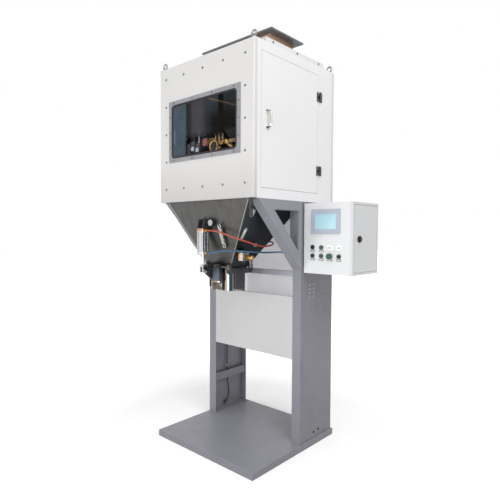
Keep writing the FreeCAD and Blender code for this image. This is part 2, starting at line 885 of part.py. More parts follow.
def make_jaw(side):
    py, pz = pivot_of(side)
    ly, lz = pin_at_rest(side)
    reach = plate_inner + plate_thickness + 5
    shaft = cylinder(shaft_diameter / 2, (-reach, py, pz), (1, 0, 0), 2 * reach)
    hub = cylinder(hub_radius, (hub_left, py, pz), (1, 0, 0), hub_right - hub_left)
    g = bag_gap
    outer = g + jaw_thickness
    pad = rounded_column(0, spout_y, outlet_half_x + outer, outlet_half_y + outer, spout_corner + outer,
                         jaw_bottom, jaw_top)
    pad = pad.cut(rounded_column(0, spout_y, outlet_half_x + g, outlet_half_y + g, spout_corner + g,
                                 jaw_bottom - 1, jaw_top + 1))
    edge = spout_y + side * jaw_reach
    far = spout_y + side * (outlet_half_y + 2 * outer)
    keep = box(-jaw_pad_half_width, min(edge, far), jaw_bottom - 2,
               jaw_pad_half_width, max(edge, far), jaw_top + 2)
    pad = pad.common(keep)
    face = spout_y + side * (outlet_half_y + outer)
    half_t = lever_thickness / 2
    length = math.hypot(ly - py, lz - pz)
    angle = math.degrees(math.atan2(lz - pz, ly - py))
    end = lever_end
    tip = cylinder(end, (clamp_x - half_t, ly, lz), (1, 0, 0), lever_thickness)
    boss = cylinder(hub_radius, (clamp_x - half_t, py, pz), (1, 0, 0), lever_thickness)
    a = math.radians(angle)
    ny, nz = -math.sin(a), math.cos(a)
    if nz < 0:
        ny, nz = -ny, -nz
    web = [(py + ny * hub_radius, pz + nz * hub_radius), (ly + ny * end, lz + nz * end),
           (ly - ny * end, lz - nz * end), (face, jaw_top - 16), (face - side * 8, jaw_top - 16),
           (face - side * 8, jaw_top), (py - side * 10, pz - 12)]
    lever = fuse([tip, boss, prism_x(web, clamp_x - half_t, clamp_x + half_t)])
    slide = lever_arm / math.cos(math.radians(half_swing)) - lever_arm
    slot_r = clevis_pin / 2 + slot_clearance
    x0 = -half_t - 1
    wide = lever_thickness + 2
    slot = fuse([cylinder(slot_r, (x0, length - slide - 0.5, 0), (1, 0, 0), wide),
                 cylinder(slot_r, (x0, length + 0.5, 0), (1, 0, 0), wide),
                 box(x0, length - slide - 0.5, -slot_r, x0 + wide, length + 0.5, slot_r)])
    slot.rotate(V(0, 0, 0), V(1, 0, 0), angle)
    slot.translate(V(clamp_x, py, pz))
    lever = lever.cut(slot)
    arms = []
    for low in (-jaw_pad_half_width, jaw_pad_half_width - jaw_arm):
        high = low + jaw_arm
        outline = [(py - side * 11, pz), (py + side * 11, pz), (face, jaw_top - 20),
                   (face - side * 20, jaw_top - 20), (face - side * 20, jaw_top + 4)]
        arms.append(prism_x(outline, low, high))
        arms.append(cylinder(14, (low, py, pz), (1, 0, 0), high - low))
    block = box(hub_left - hub_block_side, py - 13, jaw_top - 4, hub_right, py + 13, pz - 10)
    opening = rounded_column(0, spout_y, outlet_half_x + g, outlet_half_y + g, spout_corner + g,
                             jaw_bottom - 1, outlet_z + 1)
    jaw = fuse([shaft, hub, pad, lever, block] + arms)
    return jaw.cut(opening)


def make_rod(side):
    w, d = clevis_width / 2, clevis_depth / 2
    fork = box(-w, -d, -d, w, d, clevis_height)
    gap = lever_thickness / 2 + 1
    fork = fork.cut(box(-gap, -d - 1, -d - 1, gap, d + 1, clevis_gap))
    pin = cylinder(clevis_pin / 2, (-w - 4, 0, 0), (1, 0, 0), 2 * w + 8)
    piston_z = rod_to_body + cylinder_cap + 6
    rod = cylinder(rod_diameter / 2, (0, 0, clevis_height - 1), (0, 0, 1), piston_z - clevis_height + 1)
    piston = cylinder(cylinder_bore / 2 - rod_clearance, (0, 0, piston_z), (0, 0, 1), piston_length)
    corners = [V(14 * math.cos(math.radians(60 * k)), 14 * math.sin(math.radians(60 * k)), clevis_height)
               for k in range(7)]
    nut = Part.Face(Part.makePolygon(corners)).extrude(V(0, 0, 8))
    return set_on_line(fuse([fork, pin, rod, piston, nut]), side)


def make_cylinder(side):
    h = cylinder_side / 2
    z0 = rod_to_body
    z1 = z0 + cylinder_length
    barrel = box(-h + 2, -h + 2, z0 + cylinder_cap, h - 2, h - 2, z1 - cylinder_cap)
    grooves = []
    for s in (-1, 1):
        for c in (-0.45, 0.45):
            grooves.append(box(c * h - 2.5, s * (h - 2) - 2, z0, c * h + 2.5, s * (h - 2) + 2, z1))
            grooves.append(box(s * (h - 2) - 2, c * h - 2.5, z0, s * (h - 2) + 2, c * h + 2.5, z1))
    parts = [cut(barrel, grooves)]
    for z in (z0, z1 - cylinder_cap):
        cap = box(-h, -h, z, h, h, z + cylinder_cap)
        upright = [e for e in cap.Edges if abs(e.Vertexes[0].Z - e.Vertexes[1].Z) > 1e-6]
        parts.append(cap.makeFillet(6, upright))
    bore = cylinder(cylinder_bore / 2, (0, 0, z0 + cylinder_cap), (0, 0, 1),
                    cylinder_length - 2 * cylinder_cap)
    rod_hole = cylinder(rod_diameter / 2 + rod_clearance, (0, 0, z0 - 1), (0, 0, 1), cylinder_cap + 2)
    return set_on_line(fuse(parts).cut(fuse([bore, rod_hole])), side)


def cylinder_top(side):
    ly, lz = pin_at_rest(side)
    a = lean_of(side)
    s = rod_to_body + cylinder_length
    return (ly + side * s * math.sin(a), lz + s * math.cos(a))


def make_front_bracket():
    ty, tz = cylinder_top(-1)
    t = bracket_plate
    h = cylinder_side / 2
    z0 = tz + bracket_foot_rise
    z1 = z0 + bracket_foot_height
    y0, y1 = hopper_front_y(z0), hopper_front_y(z1)
    foot = prism_x([(y0, z0), (y1, z1), (y1 - t, z1), (y0 - t, z0)],
                   clamp_x - bracket_half_width, boss_x + boss_radius)
    cap = box(clamp_x - bracket_half_width, ty - h + 1, tz, clamp_x + bracket_half_width, ty + h - 2, tz + t)
    webs = []
    for x in (clamp_x - bracket_half_width, clamp_x + bracket_half_width - t):
        web = [(ty - h + 1, tz), (ty + h - 2, tz), (y0 - 1, z0), (y1 - 1, z1), (ty - h + 12, z1)]
        webs.append(prism_x(web, x, x + t))
    zb = (z0 + z1) / 2
    yb = hopper_front_y(zb) - t + 3
    boss = cylinder(boss_radius, (boss_x, yb, zb), (0, -1, 0), boss_length)
    boss = boss.cut(cylinder(boss_radius * 0.5, (boss_x, yb - boss_length - 1, zb), (0, 1, 0), 7))
    return fuse([foot, cap, boss] + webs)


def make_rear_bracket():
    ty, tz = cylinder_top(1)
    a = lean_of(1)
    uy, uz = math.sin(a), math.cos(a)
    vy, vz = uz, -uy
    h = cylinder_side / 2 - 1
    t = bracket_plate
    cap = [(ty - vy * h, tz - vz * h), (ty + vy * h, tz + vz * h),
           (ty + vy * h + uy * t, tz + vz * h + uz * t), (ty - vy * h + uy * t, tz - vz * h + uz * t)]
    z0, z1 = tz + 34, tz + 94
    y0, y1 = hopper_rear_y(z0), hopper_rear_y(z1)
    foot = [(y0, z0), (y1, z1), (y1 + vy * t, z1 + vz * t), (y0 + vy * t, z0 + vz * t)]
    web = [cap[0], cap[1], cap[2], (y1 + 1, z1), (y0 + 1, z0)]
    x0, x1 = clamp_x - bracket_half_width, clamp_x + bracket_half_width
    parts = [prism_x(cap, x0, x1), prism_x(foot, x0, x1)]
    for x in (x0, x1 - t):
        parts.append(prism_x(web, x, x + t))
    return fuse(parts)


# Feed chute, feed gate, weigh hoppers, flaps and load cells

def make_chute():
    t = chute_sheet
    top = cabinet_top - cabinet_sheet
    hx = neck_length / 2 - neck_wall
    hy = neck_depth / 2 - neck_wall
    outer = frustum((0, chute_y, chute_half_x + t, chute_half_y + t, chute_bottom),
                    (0, neck_y, hx + t, hy + t, top))
    inner = frustum((0, chute_y, chute_half_x, chute_half_y, chute_bottom - 0.01),
                    (0, neck_y, hx, hy, top + 0.01))
    rim = box(-hx - 15, neck_y - hy - 15, top - 3, hx + 15, neck_y + hy + 15, top)
    parts = [outer, rim]
    x_out = chute_half_x + t + gate_arm_gap - 0.5
    for s in (-1, 1):
        pad_in = s * (chute_half_x - 20)
        parts.append(box(min(pad_in, s * x_out), chute_y - 14, gate_axis_z - 14,
                         max(pad_in, s * x_out), chute_y + 14, gate_axis_z + 14))
        stub = x_out + gate_sheet + 4
        parts.append(cylinder(gate_pin / 2, (s * (x_out - 4), chute_y, gate_axis_z), (s, 0, 0),
                              stub - x_out + 4))
    return fuse(parts).cut(inner)


def gate_arm_x():
    return chute_half_x + chute_sheet + gate_arm_gap


def make_gate():
    r0, r1 = gate_radius, gate_radius + gate_sheet
    x_arm = gate_arm_x()
    x_out = x_arm + gate_sheet
    a = math.radians(gate_half_angle)
    ring = cylinder(r1, (-x_out, chute_y, gate_axis_z), (1, 0, 0), 2 * x_out)
    ring = ring.cut(cylinder(r0, (-x_out - 1, chute_y, gate_axis_z), (1, 0, 0), 2 * x_out + 2))
    reach = r1 * 2
    wedge = prism_x([(chute_y, gate_axis_z), (chute_y - reach * math.sin(a), gate_axis_z - reach * math.cos(a)),
                     (chute_y, gate_axis_z - reach * 1.6),
                     (chute_y + reach * math.sin(a), gate_axis_z - reach * math.cos(a))],
                    -x_out - 1, x_out + 1)
    parts = [ring.common(wedge)]
    half = math.radians(gate_half_angle - 12)
    rm = r0 + 1.5
    for s in (-1, 1):
        low, high = min(s * x_arm, s * x_out), max(s * x_arm, s * x_out)
        outline = [(chute_y - 12, gate_axis_z + 6), (chute_y + 12, gate_axis_z + 6),
                   (chute_y + rm * math.sin(half), gate_axis_z - rm * math.cos(half)),
                   (chute_y, gate_axis_z - rm),
                   (chute_y - rm * math.sin(half), gate_axis_z - rm * math.cos(half))]
        parts.append(prism_x(outline, low, high))
        parts.append(cylinder(14, (low, chute_y, gate_axis_z), (1, 0, 0), high - low))
    bore = cylinder(gate_pin / 2 + shaft_clearance, (-x_out - 1, chute_y, gate_axis_z), (1, 0, 0),
                    2 * x_out + 2)
    return fuse(parts).cut(bore)


def weigh_middle():
    return ((weigh_inner + weigh_outer) / 2, (weigh_front + weigh_rear) / 2)


def mouth_half():
    return ((weigh_outer - weigh_inner) / 2 - mouth_inset_x, (weigh_rear - weigh_front) / 2 - mouth_inset_y)


def flap_axis():
    cx, cy = weigh_middle()
    mx, my = mouth_half()
    return (cy + my + 12, weigh_bottom - flap_drop)


def make_weigh_hopper(sign):
    t = weigh_sheet
    cx, cy = weigh_middle()
    mx, my = mouth_half()
    hx = (weigh_outer - weigh_inner) / 2
    hy = (weigh_rear - weigh_front) / 2
    upper = box(cx - hx, cy - hy, weigh_shoulder, cx + hx, cy + hy, weigh_top)
    lower = frustum((cx, cy, mx, my, weigh_bottom), (cx, cy, hx, hy, weigh_shoulder))
    upper_in = box(cx - hx + t, cy - hy + t, weigh_shoulder, cx + hx - t, cy + hy - t, weigh_top + 1)
    lower_in = frustum((cx, cy, mx - t, my - t, weigh_bottom - 0.01),
                       (cx, cy, hx - t, hy - t, weigh_shoulder + 0.01))
    band = box(cx - hx - weigh_rim, cy - hy - weigh_rim, weigh_top - 18, cx + hx + weigh_rim,
               cy + hy + weigh_rim, weigh_top)
    ay, az = flap_axis()
    parts = [upper, lower, band]
    for s in (-1, 1):
        x0 = cx + s * (mx - 1)
        x1 = cx + s * (mx + flap_lug)
        parts.append(box(min(x0, x1), cy + my - 30, az - 10, max(x0, x1), ay + 10, weigh_bottom + 16))
    shelf_z = beam_z + beam_side + cell_side
    parts.append(box(weigh_outer - 1, weigh_rear - 44, shelf_z, weigh_outer + 8 + cell_side, weigh_rear - 8,
                     shelf_z + 8))
    body = fuse(parts).cut(fuse([upper_in, lower_in]))
    bore = cylinder(flap_pin / 2 + shaft_clearance, (cx - mx - flap_lug - 1, ay, az), (1, 0, 0),
                    2 * (mx + flap_lug) + 2)
    body = body.cut(bore)
    return body if sign > 0 else mirrored_x(body)


def make_flap(sign):
    cx, cy = weigh_middle()
    mx, my = mouth_half()
    ay, az = flap_axis()
    x0 = cx - mx - flap_lug - 3
    x1 = cx + mx + flap_lug + actuator_length - 10
    pin = cylinder(flap_pin / 2, (x0, ay, az), (1, 0, 0), x1 - x0)
    w = mx - 2
    hub = cylinder(flap_hub, (cx - w, ay, az), (1, 0, 0), 2 * w)
    top = weigh_bottom - 1
    plate = box(cx - w, cy - my - 4, top - flap_sheet, cx + w, ay, top)
    ribs = [box(cx + k * w * 0.6 - 2, cy - my + 20, top - 16, cx + k * w * 0.6 + 2, ay, top - 1)
            for k in (-1, 1)]
    flap = fuse([pin, hub, plate] + ribs)
    return flap if sign > 0 else mirrored_x(flap)


def make_actuators():
    cx, cy = weigh_middle()
    mx, my = mouth_half()
    ay, az = flap_axis()
    x0 = cx + mx + flap_lug + 0.5
    h = actuator_side / 2
    body = box(x0, ay - h, az - h, x0 + actuator_length, ay + h, az + h)
    upright = [e for e in body.Edges if abs(e.Vertexes[0].X - e.Vertexes[1].X) > 1e-6]
    body = body.makeFillet(5, upright)
    link = box(x0 + 2, ay + h - 1, az - 14, x0 + 18, weigh_rear + 1, az + 14)
    stay = box(x0 + 2, weigh_rear, az - 14, x0 + 18, weigh_rear + 6, weigh_shoulder + 44)
    body = fuse([body, link, stay])
    body = body.cut(cylinder(flap_pin / 2 + shaft_clearance, (x0 - 1, ay, az), (1, 0, 0), actuator_length - 8))
    return [body, mirrored_x(body)]


def make_load_cells():
    cells = []
    x0 = weigh_outer + 8
    y0 = weigh_rear - 45
    z0 = beam_z + beam_side
    cell = box(x0, y0, z0, x0 + cell_side, y0 + cell_length, z0 + cell_side)
    middle = y0 + cell_length / 2
    eyes = [cylinder(9, (x0 - 1, middle + d, z0 + cell_side / 2), (1, 0, 0), cell_side + 2) for d in (-8, 8)]
    cell = cut(cell, eyes)
    return [cell, mirrored_x(cell)]


def make_weigh_beam():
    x = half_w - cabinet_sheet
    x0 = weigh_outer + 8
    arm_front = weigh_rear - 45 + cell_length - 50
    parts = [box(-x, beam_y, beam_z, x, beam_y + beam_side, beam_z + beam_side)]
    for s in (-1, 1):
        a, b = s * x0, s * (x0 + cell_side)
        parts.append(box(min(a, b), arm_front, beam_z, max(a, b), beam_y + 1, beam_z + beam_side))
    y0, y1 = weigh_front - 5, weigh_front - 5 + post_depth
    floor = cabinet_bottom + cabinet_sheet
    portal = [box(-post_width / 2, y0, portal_top - 1, post_width / 2, y1, weigh_top - 40),
              box(-portal_half, y0, portal_top - portal_bar, portal_half, y1, portal_top)]
    for s in (-1, 1):
        a, b = s * portal_half, s * (portal_half - portal_bar)
        portal.append(box(min(a, b), y0, floor, max(a, b), y1, portal_top - 1))
    return [fuse(parts), fuse(portal)]


def make_manifold():
    y0 = shell_front + cabinet_sheet
    y1 = y0 + manifold_rail_side
    yc = (y0 + y1) / 2
    deck = manifold_rail_z + manifold_rail_side
    reach = half_w - flange_return + 20
    width = manifold_valves * manifold_pitch
    x_end = manifold_block_x + width
    rail = box(-reach, y0, manifold_rail_z, reach, y1, deck)
    z = deck + manifold_block_height
    block = box(manifold_block_x, y0 - 2, deck, x_end, y1 + manifold_block_rear, z)
    solids = [rail, block]
    w = valve_width / 2
    for k in range(manifold_valves):
        x = manifold_block_x + (k + 0.5) * manifold_pitch
        valve = box(x - w, y0, z, x + w, y1 + 8, z + valve_height)
        coil = box(x - w + 2, y0 + 2, z + valve_height, x + w - 2, y1, z + valve_height + valve_coil_height)
        solids.append(fuse([valve, coil]))
        solids.append(cylinder(valve_port_radius, (x, y0 - 2, z - valve_port_drop), (0, -1, 0), valve_port_length))
    x = x_end + regulator_gap
    solids.append(box(x, y0, deck, x + regulator_width, y1 + 6, deck + regulator_height))
    x = x_end + loop_offset
    z = deck + loop_rise
    loop = Part.makeTorus(loop_radius, loop_tube, V(x, yc, z), V(0, 1, 0), 0, 360, 360)
    seat = box(x - loop_seat_half, y0 + 2, deck, x + loop_seat_half, y1 - 2, z - loop_radius)
    solids.append(fuse([loop, seat]))
    for k in range(3):
        x = x_end + loop_offset + bit_offset + k * bit_pitch
        body = cylinder(bit_radius, (x, yc, deck), (0, 0, 1), bit_height)
        cap = cylinder(bit_cap_radius, (x, yc, deck + bit_height), (0, 0, 1), bit_cap_height)
        solids.append(fuse([body, cap]))
    return solids


# Control box with its door, lock, panel and buttons

def box_door_limits():
    g = box_door_gap
    return (box_front + box_rim + g, box_rear - box_rim - g, box_bottom + box_rim + g, box_top - box_rim - g)


def make_control_box():
    t = box_sheet
    shell = box(box_left, box_front, box_bottom, box_right, box_rear, box_top)
    vertical = [e for e in shell.Edges if abs(e.Length - box_height) < 1e-6]
    shell = shell.makeFillet(3, vertical)
    inside = box(box_left + t, box_front + t, box_bottom + t, box_right - t, box_rear - t, box_top - t)
    y0, y1, z0, z1 = box_door_limits()
    g = box_door_gap
    opening = box(box_right - 2 * t, y0 - g, z0 - g, box_right + 1, y1 + g, z1 + g)
    body = cut(shell, [inside, opening])
    depth = box_door_fold + 2
    rim = box(box_right - depth, y0 - g - t, z0 - g - t, box_right - t / 2, y1 + g + t, z1 + g + t)
    rim = rim.cut(box(box_right - depth - 1, y0 - g, z0 - g, box_right + 1, y1 + g, z1 + g))
    body = fuse([body, rim])
    hx, hy = box_hinge_axis()
    holes = [cylinder(box_pin / 2 + hinge_clearance, (hx, hy, z), (0, 0, 1), 8)
             for z in (z0 - g - t - 3, z1 + g - 3)]
    lugs = [box(hx - 6, hy - 6, z, hx + 1.9, hy + 6, z + t + 2) for z in (z0 - g - t - 2, z1 + g)]
    body = fuse([body] + lugs)
    tools = holes + hmi_recess() + [button_hole(x, z) for x, z in button_places()]
    return cut(body, tools)


def box_hinge_axis():
    y0, y1, z0, z1 = box_door_limits()
    return (box_right - 3.0, y1 - 3.0)


def make_box_door():
    y0, y1, z0, z1 = box_door_limits()
    door = make_tray(box_right - box_door_fold, y0, z0, box_right, y1, z1, box_sheet, "-x")
    hx, hy = box_hinge_axis()
    reach = box_door_gap + box_sheet + 1
    pins = [cylinder(box_pin / 2, (hx, hy, z1 - 1), (0, 0, 1), reach + 1),
            cylinder(box_pin / 2, (hx, hy, z0 + 1), (0, 0, -1), reach + 1)]
    hole = cylinder(9.0, (box_right - 2 * box_sheet, lock_y, lock_z), (1, 0, 0), 3 * box_sheet)
    return fuse([door] + pins).cut(hole)


def make_lock():
    x = box_right
    knob = cylinder(lock_radius, (x + 0.2, lock_y, lock_z), (1, 0, 0), lock_height)
    rim = [e for e in knob.Edges if abs(e.BoundBox.XMin - (x + 0.2 + lock_height)) < 1e-6][:1]
    knob = knob.makeFillet(2.5, rim)
    depth = box_door_fold + 4
    shaft = cylinder(9.0 - hinge_clearance, (x - depth, lock_y, lock_z), (1, 0, 0), depth + 0.4)
    cam = box(x - depth - 3, lock_y - 8, lock_z - cam_length, x - depth + 0.2, lock_y + 8, lock_z + 8)
    return fuse([knob, shaft, cam])


def hmi_recess():
    x0 = hmi_x + hmi_lap
    x1 = hmi_x + hmi_width - hmi_lap
    z0 = hmi_z + hmi_lap
    z1 = hmi_z + hmi_height - hmi_lap
    return [box(x0, box_front - 1, z0, x1, box_front + box_sheet + 1, z1)]


def make_hmi():
    cx = hmi_x + hmi_width / 2
    cz = hmi_z + hmi_height / 2
    plate = rounded_plate(cx, cz, hmi_width, hmi_height, 5.0, box_front - hmi_proud, box_front)
    lap = hmi_lap + fit_gap
    body = box(hmi_x + lap, box_front - 1, hmi_z + lap, hmi_x + hmi_width - lap, box_front + hmi_body_depth,
               hmi_z + hmi_height - lap)
    half_x = hmi_width / 2 - hmi_border_x
    half_z = hmi_height / 2 - hmi_border_z
    y1 = box_front - hmi_proud + hmi_screen_sink
    recess = box(cx - half_x, box_front - hmi_proud - 1, cz - half_z, cx + half_x, y1, cz + half_z)
    bezel = fuse([plate, body]).cut(recess)
    g = fit_gap
    screen = box(cx - half_x + g, y1 - hmi_screen_thickness, cz - half_z + g, cx + half_x - g, y1, cz + half_z - g)
    return bezel, screen


def button_places():
    return [(button_x + i * button_pitch_x, button_z + k * button_pitch_z) for k in (0, 1) for i in range(4)]


def button_hole(x, z):
    return cylinder(button_barrel + fit_gap, (x, box_front - 1, z), (0, 1, 0), box_sheet + 2)


def flat_disc(radius, x, y0, y1, z, rounding):
    disc = cylinder(radius, (x, y0, z), (0, 1, 0), y1 - y0)
    rim = [e for e in disc.Edges if e.BoundBox.YMax < y0 + 1e-4]
    return disc.makeFillet(rounding, rim)


def is_large(k):
    return k == 2


def make_bezel(x, z, large):
    ring = flat_disc(bezel_radius, x, box_front - bezel_height, box_front, z, 1.2)
    barrel = cylinder(button_barrel, (x, box_front - 1, z), (0, 1, 0), 26)
    body = fuse([ring, barrel])
    y0 = box_front - bezel_height - 1
    well = cylinder(button_shaft + button_clearance, (x, y0, z), (0, 1, 0), 22)
    if large:
        return body.cut(well)
    deep = button_travel + 1.5
    return body.cut(fuse([well, cylinder(button_radius + button_clearance, (x, y0, z), (0, 1, 0), 1 + deep)]))


def make_button(x, z, large):
    face = box_front - bezel_height
    if large:
        y0, y1, radius = face - button_travel - 13, face - button_travel - 0.5, large_button_radius
    else:
        y0, y1, radius = face - button_proud, face + 1, button_radius
    head = flat_disc(radius, x, y0, y1, z, 3.0 if large else 1.2)
    return fuse([head, cylinder(button_shaft, (x, y1 - 1, z), (0, 1, 0), box_front + 12 - y1)])


def make_lamp(x, z):
    return flat_disc(button_radius, x, box_front - bezel_height - 7, box_front - bezel_height + 1, z, 3.0)


def make_box_brackets():
    solids = []
    inset = box_bracket_inset
    for z in (box_bottom + box_bracket_low, box_top - box_bracket_high):
        solids.append(box(half_w, box_front + inset, z, box_left, box_rear - inset, z + box_bracket_height))
    return solids


# Cords: straight runs joined by tangent arcs

def round_route(name, points):
    pts = [V(*p) for p in points]
    edges, at = [], pts[0]
    radii = []
    for before, corner, after in zip(pts, pts[1:], pts[2:]):
        a = (before - corner)
        b = (after - corner)
        run = min(a.Length, b.Length)
        a.normalize()
        b.normalize()
        turn = math.pi - a.getAngle(b)
        radius = 0.45 * run / math.tan(turn / 2)
        radii.append(radius)
        start = corner + a * (0.45 * run)
        end = corner + b * (0.45 * run)
        toward = a + b
        toward.normalize()
        middle = corner + toward * (radius / math.cos(turn / 2) - radius)
        edges.append(Part.LineSegment(at, start).toShape())
        edges.append(Part.Arc(start, middle, end).toShape())
        at = end
    edges.append(Part.LineSegment(at, pts[-1]).toShape())
    print(name, "bend radii", [round(r) for r in radii], "tightest", round(min(radii), 1))
    return Part.Wire(edges)


def tube(name, points, diameter):
    path = round_route(name, points)
    direction = V(*points[1]) - V(*points[0])
    ring = Part.Wire([Part.makeCircle(diameter / 2, V(*points[0]), direction)])
    solid = path.makePipeShell([ring], True, False)
    section = math.pi * diameter ** 2 / 4
    print(name, "length", round(path.Length), "volume share", round(solid.Volume / (section * path.Length), 4))
    return solid


def port_point(side, share):
    ly, lz = pin_at_rest(side)
    a = lean_of(side)
    s = rod_to_body + cylinder_cap / 2 + share * (cylinder_length - cylinder_cap)
    return (clamp_x + cylinder_side / 2, ly + side * s * math.sin(a), lz + s * math.cos(a))


def make_fitting(point, sign):
    x, y, z = point
    wide = cylinder(fitting_wide, (x, y, z), (sign, 0, 0), fitting_length - fitting_collar)
    thin = cylinder(fitting_thin, (x, y, z), (sign, 0, 0), fitting_length)
    return fuse([wide, thin])


def make_fittings():
    solids = [make_fitting(port_point(side, share), 1) for side in (-1, 1) for share in (0.0, 1.0)]
    solids.append(make_fitting(gusset_port, -1))
    h = gland_block_side / 2
    block = box(-half_w + column_sheet, gland_y - h, gland_z + 6, gland_x + gland_nut, gland_y + h,
                gland_z + 6 + gland_block_height)
    nut = cylinder(gland_nut, (gland_x, gland_y, gland_z), (0, 0, 1), 7)
    solids.append(fuse([block, nut]))
    return solids


def red_route():
    start = port_point(-1, 1.0)
    end = port_point(1, 1.0)
    x0 = start[0] + fitting_length
    x1 = end[0] + fitting_length
    return [(x0, start[1], start[2]), (x0 + 52, start[1], start[2]), (115, -363, 1362), (166, -360, 1348),
            (214, -349, 1331), (254, -314, 1315), (268, -264, 1300), (268, -210, 1287), (265, -158, 1278),
            (262, -106, 1276), (257, -54, 1282), (234, -8, 1291), (196, 30, 1298), (151, 62, 1301),
            (106, 82, 1299), (x1 + 46, end[1], end[2]), (x1, end[1], end[2])]


def blue_route():
    start = port_point(-1, 0.0)
    x0 = start[0] + fitting_length
    gx, gy, gz = gusset_port
    x1 = gx - fitting_length
    return [(x0, start[1], start[2]), (x0 + 34, start[1], start[2]), (96, -360, 1246), (150, -349, 1252),
            (202, -320, 1252), (233, -272, 1249), (244, -218, 1245), (245, -163, 1241), (243, -110, 1238),
            (247, -60, 1237), (266, -26, 1239), (296, gy, gz), (x1, gy, gz)]


def cable_route():
    x = gland_x
    return [(x, gland_y, gland_z), (x, gland_y, gland_z - cable_drop),
            (x, 208.5, 580), (x, 210, 520), (x, 209.5, 460),
            (x, 208, 400), (x, 207.5, 340), (x, 210, 285), (x, 216, 232), (x, 224, 182), (x, 229, 140),
            (x, 222, 105), (x, 206, 89)]


def make_plug():
    route = cable_route()
    start = V(*route[-1])
    toward = start - V(*route[-2])
    toward.normalize()
    body_start = start + toward * plug_collar_length
    collar = Part.makeCylinder(plug_collar_radius, plug_collar_length, start, toward)
    body = Part.makeCylinder(plug_body_radius, cable_plug_length - plug_collar_length, body_start, toward)
    socket = Part.makeCylinder(plug_collar_radius, plug_socket_depth + 1,
                               start + toward * (cable_plug_length - plug_socket_depth), toward)
    return fuse([collar, body.cut(socket)])


def make_air_valve():
    z0 = outlet_z + air_valve_rise
    z1 = z0 + air_valve_height
    zc = (z0 + z1) / 2
    x_wall = hopper_right_x(zc)
    x0 = hopper_right_x(z1) + air_valve_gap
    y0 = air_valve_front
    y1 = y0 + air_valve_depth
    i = air_coil_inset
    body = box(x0, y0, z0, x0 + air_valve_width, y1, z1)
    coil = box(x0 + i, y0 + i, z1, x0 + air_valve_width - i, y0 + i + air_coil_depth, z1 + air_coil_height)
    h = air_stem_side / 2
    w = air_stem_width / 2
    yc = (y0 + y1) / 2
    stem = box(x_wall - 10, yc - w, zc - h, x0 + 2, yc + w, zc + h)
    return fuse([body, coil, stem]).cut(hopper_envelope(seat_gap))


def make_corner_tab():
    x1 = half_w - tab_inset
    x0 = x1 - tab_width
    y0 = front + tab_set_back - tab_sheet
    top = cabinet_bottom
    plate = box(x0, y0, top - tab_height, x1, y0 + tab_sheet, top)
    foot = box(x0, y0 + tab_sheet - 1, top - tab_sheet, x1, y0 + tab_sheet + tab_foot, top)
    bolt = cylinder(tab_bolt_radius, ((x0 + x1) / 2, y0, top - tab_bolt_drop), (0, -1, 0), tab_bolt_length)
    return fuse([plate, foot, bolt])


# Build and save every node

save("base_plate", make_base())
envelope = hopper_envelope(notch_gap)
save("left_column", mirrored_x(make_column(False).cut(envelope)))
save("right_column", make_column(True).cut(envelope))
save("left_gusset", mirrored_x(make_gusset().cut(envelope)))
save("right_gusset", make_gusset().cut(envelope))
rail_x = half_w - column_sheet
save("cross_rail", box(-rail_x, column_front + column_sheet, rail_bottom, rail_x,
                       column_front + column_sheet + rail_depth, rail_bottom + rail_height))
panel_x = column_inner - panel_gap
save("front_panel", make_tray(-panel_x, column_front, front_panel_bottom, panel_x, column_front + panel_fold,
                              front_panel_top, panel_sheet, "+y"))
rear_x = half_w - column_rear_return - panel_gap
save("back_panel", make_tray(-rear_x, back - panel_fold, back_panel_bottom, rear_x, back,
                             cabinet_bottom - panel_gap, panel_sheet, "-y"))

window_frame, window_gasket, window_glass, window_opening = make_window()
cover_places = cover_screw_places()
window_places = window_screw_places()
shank = cover_depth + cabinet_sheet
front_holes = screw_holes_y(cover_places, front, -1, screw_shank, shank)
window_holes = screw_holes_y(window_places, front, -1, window_screw, 8)
cover = cut(make_cover(-1), [window_opening] + front_holes + window_holes)
rear_holes = screw_holes_y(cover_places, back, 1, screw_shank, shank)
rear_cover = cut(make_cover(1), rear_holes)
shell = cut(make_shell(), front_holes + rear_holes)
save("cabinet_shell", shell)
save("front_cover", cover)
save("rear_cover", rear_cover)
screws = [screw_y(x, z, front, -1, screw_head, screw_shank, shank) for x, z in cover_places]
screws += [screw_y(x, z, back, 1, screw_head, screw_shank, shank) for x, z in cover_places]
save("window_frame", cut(window_frame, screw_holes_y(window_places, front - window_frame_thickness, -1,
                                                     window_screw, 8)))
save("window_gasket", window_gasket)
save("window_glass", window_glass)

lid_holes = []
lid_screws = []
for sign in (-1, 1):
    for y in lid_screw_positions:
        z = cabinet_top + lid_height / 2 - 1
        lid_holes.append(cylinder(3, (sign * (half_w + 1), y, z), (-sign, 0, 0), cabinet_sheet + 3))
        head = cylinder(5.5, (sign * half_w, y, z), (sign, 0, 0), 3)
        lid_screws.append(fuse([head, cylinder(3, (sign * half_w, y, z), (-sign, 0, 0), 12)]))
eye_places = [(sx * (half_w - eye_inset), sy * (back - eye_inset)) for sx in (-1, 1) for sy in (-1, 1)]
save("roof_lid", fuse([make_lid().cut(fuse(lid_holes)), make_neck()]))
save("inlet_flange", make_inlet_flange())
save("lifting_eyes", [make_lifting_eye(x, y) for x, y in eye_places])
window_screws = [screw_y(x, z, front - window_frame_thickness, -1, 4.5, window_screw, 12)
                 for x, z in window_places]
save("cover_screws", screws + lid_screws + window_screws)

hinges = [make_hinge(z) for z in (hinge_low, hinge_high)]
save("hinge_leaves", [pair[0] for pair in hinges])
save("door_hinge_pins", [pair[1] for pair in hinges])
save("cabinet_door", make_cabinet_door())
save("door_handle", make_handle())

